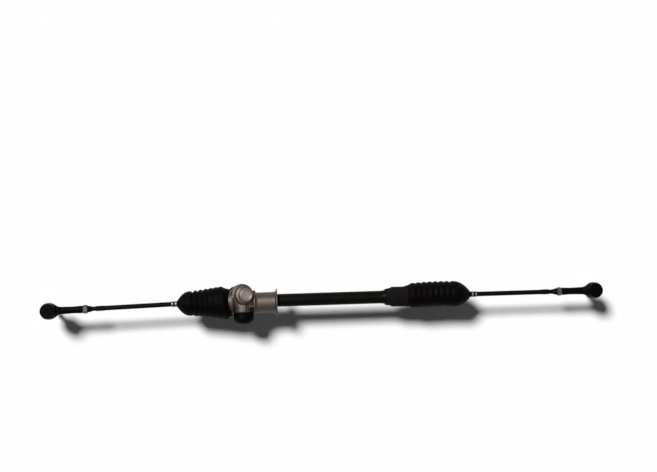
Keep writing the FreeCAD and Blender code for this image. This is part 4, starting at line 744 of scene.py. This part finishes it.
@dataclass
class TieRod:
    """One side's tie rod with its jam nut and rod end."""

    side: str
    inner_ball: Vector
    outer_ball: Vector
    forging_voxel_mm: float = 0.75
    forging_rounds: int = 4
    thread_from: float = 205.5
    thread_to: float = 213.3
    nut_from: float = 223.0
    nut_seam: float = 0.1
    thread_pitch: float = 1.5
    thread_root: float = 4.6
    thread_depth: float = 0.4
    clip_rings: tuple[tuple[float, float], ...] = ((30.8, 34.4), (38.4, 41.8))
    clip_r: float = 6.5
    clip_wall: float = 0.7
    clip_bevel: float = 0.175
    stud_thread_from: float = 47.5
    stud_thread_length: float = 16.0
    stud_pitch: float = 1.25
    stud_thread_root: float = 5.0
    stud_thread_depth: float = 0.3
    boot_grip: float = 14.9
    boot_r: float = 17.3
    boot_lip_r: float = 6.8
    boot_end: float = 26.5
    boot_wall: float = 1.3
    boot_top: float = 11.2
    boot_bends: tuple[float, float] = (15.0, 24.0)

    @property
    def rod_axis(self) -> Vector:
        """Direction of the rod, from its inner ball outwards."""
        return (self.outer_ball - self.inner_ball).normalized()

    def build(self) -> None:
        """Make the forged end, the threads, the nut, the clip and the dust boot."""
        recast(self.side + "_forged_end", self.side + "_rod_end", BLACK_FORGING,
               self.side + "_rod", self.forging_voxel_mm, self.forging_rounds)
        self.build_rod_thread()
        self.build_nut()
        self.build_clip()
        self.build_stud_thread()
        self.build_dust_boot()

    def build_rod_thread(self) -> None:
        """Roll the thread on the rod, beside the jam nut."""
        start = self.inner_ball + self.rod_axis * self.thread_from
        thread = wind(self.side + "_rod_thread", BLACK_PAINT, placement(start, self.rod_axis),
                      self.thread_to - self.thread_from, self.thread_pitch, self.thread_root,
                      self.thread_depth)
        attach(thread, self.side + "_rod")

    def build_nut(self) -> None:
        """Make the jam nut with bare flats and a black collar."""
        node = self.side + "_jam_nut"
        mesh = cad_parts[node].data.copy()
        mesh.materials.clear()
        mesh.materials.append(PHOSPHATED_STEEL.material())
        mesh.materials.append(BLACK_PAINT.material())
        for face in mesh.polygons:
            along = (face.center / MM - self.inner_ball).dot(self.rod_axis)
            face.material_index = 1 if along < self.nut_from - self.nut_seam else 0
        nut = new_piece(self.side + "_lock_nut", mesh, PHOSPHATED_STEEL)
        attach(nut, self.side + "_rod")
        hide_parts(node)

    def build_clip(self) -> None:
        """Make the small end's double clip, drawn tight on the rubber."""
        soft, outer, inner = self.clip_bevel, self.clip_r, self.clip_r - self.clip_wall
        for number, (start, end) in enumerate(self.clip_rings, start=1):
            outline = [(start, inner), (start, outer - soft), (start + soft, outer),
                       (end - soft, outer), (end, outer - soft), (end, inner)]
            ring = lathe(f"{self.side}_clip_ring_{number}", outline, ZINC_PLATE,
                         placement(self.inner_ball, self.rod_axis), segments=48)
            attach(ring, self.side + "_rod")
            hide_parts(self.side + "_boot_clip")

    def build_stud_thread(self) -> None:
        """Roll the thread on the stud's end."""
        start = self.outer_ball + DOWN * self.stud_thread_from
        thread = wind(self.side + "_stud_thread", BAR_STEEL, placement(start, DOWN),
                      self.stud_thread_length, self.stud_pitch, self.stud_thread_root,
                      self.stud_thread_depth)
        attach(thread, self.side + "_stud")

    def build_dust_boot(self) -> None:
        """Make the small rubber boot round the stud."""
        top, wall, grip, lip = self.boot_top, self.boot_wall, self.boot_grip, self.boot_lip_r
        outer = [
            (top, grip + wall), (11.9, 17.1), (12.75, 16.85), (13.6, 17.1), (14.4, self.boot_r),
            (16.0, self.boot_r + 0.1), (18.0, self.boot_r), (20.0, self.boot_r - 1.4),
            (21.5, self.boot_r - 4.0), (22.6, lip + 3.6), (23.6, lip + 2.3),
            (self.boot_end, lip + 2.0)]
        inner = [
            (self.boot_end, lip), (23.0, lip), (21.6, lip + 2.2), (20.6, self.boot_r - 5.2),
            (19.0, self.boot_r - wall - 1.4), (17.4, self.boot_r - wall),
            (15.6, self.boot_r - wall), (15.0, grip + 0.7), (13.4, grip + 0.7), (13.4, grip),
            (top, grip)]
        boot = lathe(self.side + "_dust_gaiter", outer + inner, BLACK_RUBBER,
                     placement(self.outer_ball, DOWN), segments=72, crisp=False)
        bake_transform(boot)
        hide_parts(self.side + "_dust_boot")

    def dress(self) -> None:
        """Finish the plain pieces of this side."""
        side = self.side
        dress(BLACK_PAINT, side + "_tie_rod")
        dress(ZINC_PLATE, side + "_dust_ring")
        dress(BLACK_FORGING, side + "_end_plug")
        dress(SEAT_POLYMER, side + "_outer_seat")
        dress(BAR_STEEL, side + "_ball_stud")


@dataclass(kw_only=True)
class Bellows:
    """One side's bellows with its flap, in millimetres along X and round the rack.

    Attributes:
        way: 1 if the bellows reach along X, -1 if they reach against it.
        depth_below: share of the folds' depth that is left at the bottom.
        slant: how far the first folds lean along X, a share of the drop from their top.
        sag: how far they hang down, a share of the same.
        hold_power: how soon slant and sag set in above the cuff's radius.
        bow: how high the bellows arch in the middle.
        tuck: how far the flap's rim draws back towards the folds beside the cuff.
        spare: how far the outer cuts stand off the skin's ends.
    """

    side: str
    way: int
    cuff_from: float
    cuff_to: float
    cuff_r: float
    fold_from: float
    fold_to: float
    folds: int
    first_r: float
    last_r: float
    first_depth: float
    last_depth: float
    ball_x: float
    dome_to: float
    dome_power: float
    nozzle_to: float
    flap: Profile
    flap_finish: Finish = BLACK_RUBBER
    turn_deg: float = 0.0
    slant: float = 0.0
    sag: float = 0.0
    bow: float = 0.0
    tuck: float = 0.0
    depth_below: float = 0.35
    hold_power: float = 0.35
    nozzle_r: float = 5.85
    nozzle_bevel: tuple[float, float] = (1.0, 0.5)
    wall: float = 0.6
    segments: int = 96
    neck_steps: int = 8
    dome_steps: int = 14
    shoulder_at: float = 5.0
    nozzle_at: float = 16.0
    spare: float = 5.0

    def envelope(self) -> list[tuple[float, float]]:
        """Outline over the crests, from the cuff to the nozzle, a point a millimetre.

        Returns:
            Distance along X and radius of each point.
        """
        knots = [(self.cuff_from, self.cuff_r), (self.cuff_to, self.cuff_r)]
        for index in range(1, self.neck_steps):
            share = index / self.neck_steps
            rise = share * share * (3 - 2 * share)
            knots.append((mix(self.cuff_to, self.fold_from, share),
                          mix(self.cuff_r, self.first_r, rise)))
        count = int(abs(self.fold_to - self.fold_from))
        for index in range(count + 1):
            share = index / count
            knots.append((mix(self.fold_from, self.fold_to, share),
                          mix(self.first_r, self.last_r, share)))
        for index in range(1, self.dome_steps + 1):
            share = index / self.dome_steps
            knots.append((mix(self.fold_to, self.dome_to, share),
                          mix(self.nozzle_r, self.last_r, 1 - share ** self.dome_power)))
        back, inward = self.nozzle_bevel
        knots.append((self.nozzle_to - self.way * back, self.nozzle_r))
        knots.append((self.nozzle_to, self.nozzle_r - inward))
        return knots

    def build(self) -> None:
        """Make the folded skin in three stretches, cut near the inner ball."""
        shell = LATHE.make(
            self.side + "_bellows", points_mesh("outline", self.envelope()), BLACK_RUBBER,
            Rings=self.segments + 1, Folds=float(self.folds - 1), Fold_Start=self.fold_from * MM,
            Fold_End=self.fold_to * MM, Depth_Start=self.first_depth * MM,
            Depth_End=self.last_depth * MM, Depth_Below=self.depth_below)
        tidy_mesh(shell.data, close=False)
        self.lean(shell.data)
        cuts = [self.ball_x + self.way * at for at in (self.shoulder_at, self.nozzle_at)]
        ends = [self.cuff_from - self.way * self.spare, *cuts,
                self.nozzle_to + self.way * self.spare]
        side = self.side
        for index, part in enumerate(("folds", "shoulder", "nozzle")):
            piece = self.stretch(shell, f"{side}_boot_{part}", ends[index], ends[index + 1])
            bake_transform(piece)
            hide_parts(side + "_boot")
        bpy.data.objects.remove(shell)
        self.build_flap()

    def build_flap(self) -> None:
        """Make the rubber flap that hangs over the cuff and its band, tucked in beside them."""
        flap = lathe(self.side + "_boot_flap", self.flap, self.flap_finish, Matrix(), segments=96,
                     crisp=False)
        rim = self.flap[1][0]
        for vertex in flap.data.vertices:
            share = clamp((vertex.co.x / MM - self.fold_from) / (rim - self.fold_from))
            aside = vertex.co.z ** 2 / (vertex.co.y ** 2 + vertex.co.z ** 2)
            vertex.co.x += self.way * self.tuck * MM * share * aside
        self.lean(flap.data)
        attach(flap, "gear_body")
        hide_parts(self.side + "_boot")

    def lean(self, mesh: bpy.types.Mesh) -> None:
        """Set the skin on the rack's line, slant its first folds, bow it and turn it to the rod.

        Args:
            mesh: the skin, on the X axis.
        """
        fold_span, bow_span = self.fold_to - self.fold_from, self.dome_to - self.cuff_to
        for vertex in mesh.vertices:
            share = clamp((vertex.co.x / MM - self.fold_from) / fold_span)
            radius = math.hypot(vertex.co.y, vertex.co.z) / MM
            hold = clamp((radius - self.cuff_r) / (self.first_r - self.cuff_r)) ** self.hold_power
            pull = (1 - share) ** 2 * hold
            below = (radius * MM - vertex.co.y) / 2
            vertex.co.x += self.slant * pull * below
            vertex.co.y -= self.sag * pull * below
            along = clamp((vertex.co.x / MM - self.cuff_to) / bow_span)
            vertex.co.y += self.bow * MM * math.sin(math.pi * along)
        pivot = Vector(((self.cuff_from + self.cuff_to) / 2, 0, 0)) * MM
        turn = Matrix.Translation(pivot) @ Matrix.Rotation(math.radians(self.turn_deg), 4, "Z")
        rack_line = Matrix.Translation(Vector((0, RACK_Y, 0)) * MM)
        mesh.transform(rack_line @ turn @ Matrix.Translation(-pivot))

    def stretch(self, shell: bpy.types.Object, name: str, low: float,
                high: float) -> bpy.types.Object:
        """Cut one stretch out of the skin and give it its wall.

        Args:
            shell: the whole skin.
            name: the stretch's name.
            low: where it starts along X.
            high: where it ends along X.

        Returns:
            The stretch.
        """
        mesh = shell.data.copy()
        work = bmesh.new()
        work.from_mesh(mesh)
        for place, way in ((low, -self.way), (high, self.way)):
            bmesh.ops.bisect_plane(
                work, geom=work.verts[:] + work.edges[:] + work.faces[:],
                plane_co=(place * MM, 0, 0), plane_no=(way, 0, 0), clear_outer=True)
        work.to_mesh(mesh)
        work.free()
        piece = new_piece(name, mesh, BLACK_RUBBER)
        wall = piece.modifiers.new("wall", "SOLIDIFY")
        wall.thickness, wall.offset = self.wall * MM, -1.0
        piece.data = evaluated(piece)
        piece.modifiers.clear()
        return piece

    def dress(self) -> None:
        """Finish the band."""
        dress(BLACK_BAND, self.side + "_boot_band")


@dataclass
class Studio:
    """Floor, lights and camera, set as in the photograph."""

    camera_at: tuple[float, float, float] = (-30.3, 20.3, 2600.0)
    camera_turn_deg: tuple[float, float, float] = (2.67, -3.79, -1.80)
    lens_share: float = 1.8038
    sensor_mm: float = 36.0
    floor_z: float = -89.4
    sun_slope: float = 0.46
    sun_strength: float = 3.62
    sun_width_deg: float = 13.0
    fill: float = 0.07
    gloss_height: tuple[float, float] = (0.1, 0.85)
    gloss_level: tuple[float, float] = (0.12, 0.75)
    camera_range_m: tuple[float, float] = (0.05, 100.0)
    floor_reach_m: float = 30.0
    floor_colour: str = "#FCFCFC"
    floor_roughness: float = 0.9
    floor_specular: float = 0.1

    def build(self) -> None:
        """Make the camera, the key light, the world and the floor."""
        scene = bpy.context.scene
        scene.view_settings.view_transform = "Standard"
        lens = bpy.data.cameras.new("camera")
        lens.sensor_width = self.sensor_mm
        lens.lens = self.lens_share * self.sensor_mm
        lens.clip_start, lens.clip_end = self.camera_range_m
        camera = bpy.data.objects.new("camera", lens)
        camera.location = Vector(self.camera_at) * MM
        turn = [math.radians(angle) for angle in self.camera_turn_deg]
        facing = Euler(turn, "ZXY").to_matrix().to_4x4()
        camera.matrix_world = Matrix.Translation(camera.location) @ facing
        scene.collection.objects.link(camera)
        scene.camera = camera
        key = bpy.data.lights.new("key", "SUN")
        key.energy, key.angle = self.sun_strength, math.radians(self.sun_width_deg)
        lamp = bpy.data.objects.new("key", key)
        away = Vector((-self.sun_slope, self.sun_slope, 1.0))
        lamp.rotation_mode = "QUATERNION"
        lamp.rotation_quaternion = away.to_track_quat("Z", "Y")
        scene.collection.objects.link(lamp)
        self.build_world()
        self.build_floor()

    def build_world(self) -> None:
        """Light the shadows a little, show white to the camera and pale walls to gloss."""
        world = bpy.data.worlds.new("studio")
        bpy.context.scene.world = world
        world.use_nodes = True
        tree = world.node_tree
        tree.nodes.clear()
        path = add_node(tree, "ShaderNodeLightPath")
        way = add_node(tree, "ShaderNodeTexCoord").outputs[0]
        up = add_node(tree, "ShaderNodeSeparateXYZ", {0: way})
        walls = add_node(tree, "ShaderNodeMapRange", {
            "Value": up.outputs["Z"], "From Min": self.gloss_height[0],
            "From Max": self.gloss_height[1], "To Min": self.gloss_level[0],
            "To Max": self.gloss_level[1]})
        gloss = add_node(tree, "ShaderNodeMix", {
            0: path.outputs["Is Glossy Ray"], 2: self.fill, 3: walls})
        seen = add_node(tree, "ShaderNodeMix", {0: path.outputs["Is Camera Ray"], 2: gloss, 3: 1.0})
        back = add_node(tree, "ShaderNodeBackground", {"Strength": seen})
        add_node(tree, "ShaderNodeOutputWorld", {0: back.outputs[0]})

    def build_floor(self) -> None:
        """Lay a wide white floor under the gear."""
        reach = self.floor_reach_m
        mesh = bpy.data.meshes.new("floor")
        corners = [(-reach, -reach), (reach, -reach), (reach, reach), (-reach, reach)]
        mesh.from_pydata([(x, y, self.floor_z * MM) for x, y in corners], [], [(0, 1, 2, 3)])
        paper = bpy.data.materials.new("floor_paper")
        paper.use_nodes = True
        shader = paper.node_tree.nodes["Principled BSDF"]
        shader.inputs["Base Color"].default_value = linear(self.floor_colour)
        shader.inputs["Roughness"].default_value = self.floor_roughness
        shader.inputs["Specular IOR Level"].default_value = self.floor_specular
        mesh.materials.append(paper)
        floor = bpy.data.objects.new("floor", mesh)
        bpy.context.scene.collection.objects.link(floor)


def make_rods() -> list[TieRod]:
    """Describe both tie rods, of which the left one droops as in the photograph.

    Returns:
        The left and the right tie rod.
    """
    droop = math.radians(LEFT_DROOP_DEG)
    left_ball = Vector((LEFT_BALL_X, RACK_Y, 0))
    right_ball = Vector((RIGHT_BALL_X, RACK_Y, 0))
    left_axis = Vector((-math.cos(droop), -math.sin(droop), 0))
    return [
        TieRod("left", left_ball, left_ball + left_axis * ROD_SPAN),
        TieRod("right", right_ball, right_ball + Vector((ROD_SPAN, 0, 0))),
    ]


def make_bellows() -> list[Bellows]:
    """Describe both bellows, the left one slanted and sagging, the right one bowed upwards.

    Returns:
        The left and the right bellows.
    """
    return [
        Bellows(side="left", way=-1, cuff_from=-82.5, cuff_to=-91.5, cuff_r=24.9, fold_from=-97.0,
                fold_to=-164.0, folds=7, first_r=34.4, last_r=26.8, first_depth=0.8,
                last_depth=4.4, ball_x=LEFT_BALL_X, dome_to=-193.0, dome_power=2.2,
                nozzle_to=-205.0, flap=LEFT_FLAP, turn_deg=0.534, slant=0.34, sag=0.13, tuck=6.5),
        Bellows(side="right", way=1, cuff_from=275.0, cuff_to=303.0, cuff_r=19.3, fold_from=324.0,
                fold_to=413.0, folds=8, first_r=27.8, last_r=28.2, first_depth=2.0,
                last_depth=2.8, ball_x=RIGHT_BALL_X, dome_to=452.0, dome_power=2.3,
                nozzle_to=466.0, flap=RIGHT_FLAP, flap_finish=DUSTY_RUBBER, bow=3.2),
    ]


def main() -> None:
    """Build the gear's sub-assemblies in order and report each one."""
    logging.basicConfig(level=logging.INFO, format="%(name)s: %(message)s")
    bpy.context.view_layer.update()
    Studio().build()
    housing = Housing()
    housing.build()
    for unit in (housing, RackUnit(), PinionUnit(), GuideUnit()):
        unit.dress()
        LOG.info("dressed %s", type(unit).__name__)
    for unit in (*make_rods(), *make_bellows()):
        unit.build()
        unit.dress()
        LOG.info("built %s %s", unit.side, type(unit).__name__)


if __name__ == "__main__":
    main()
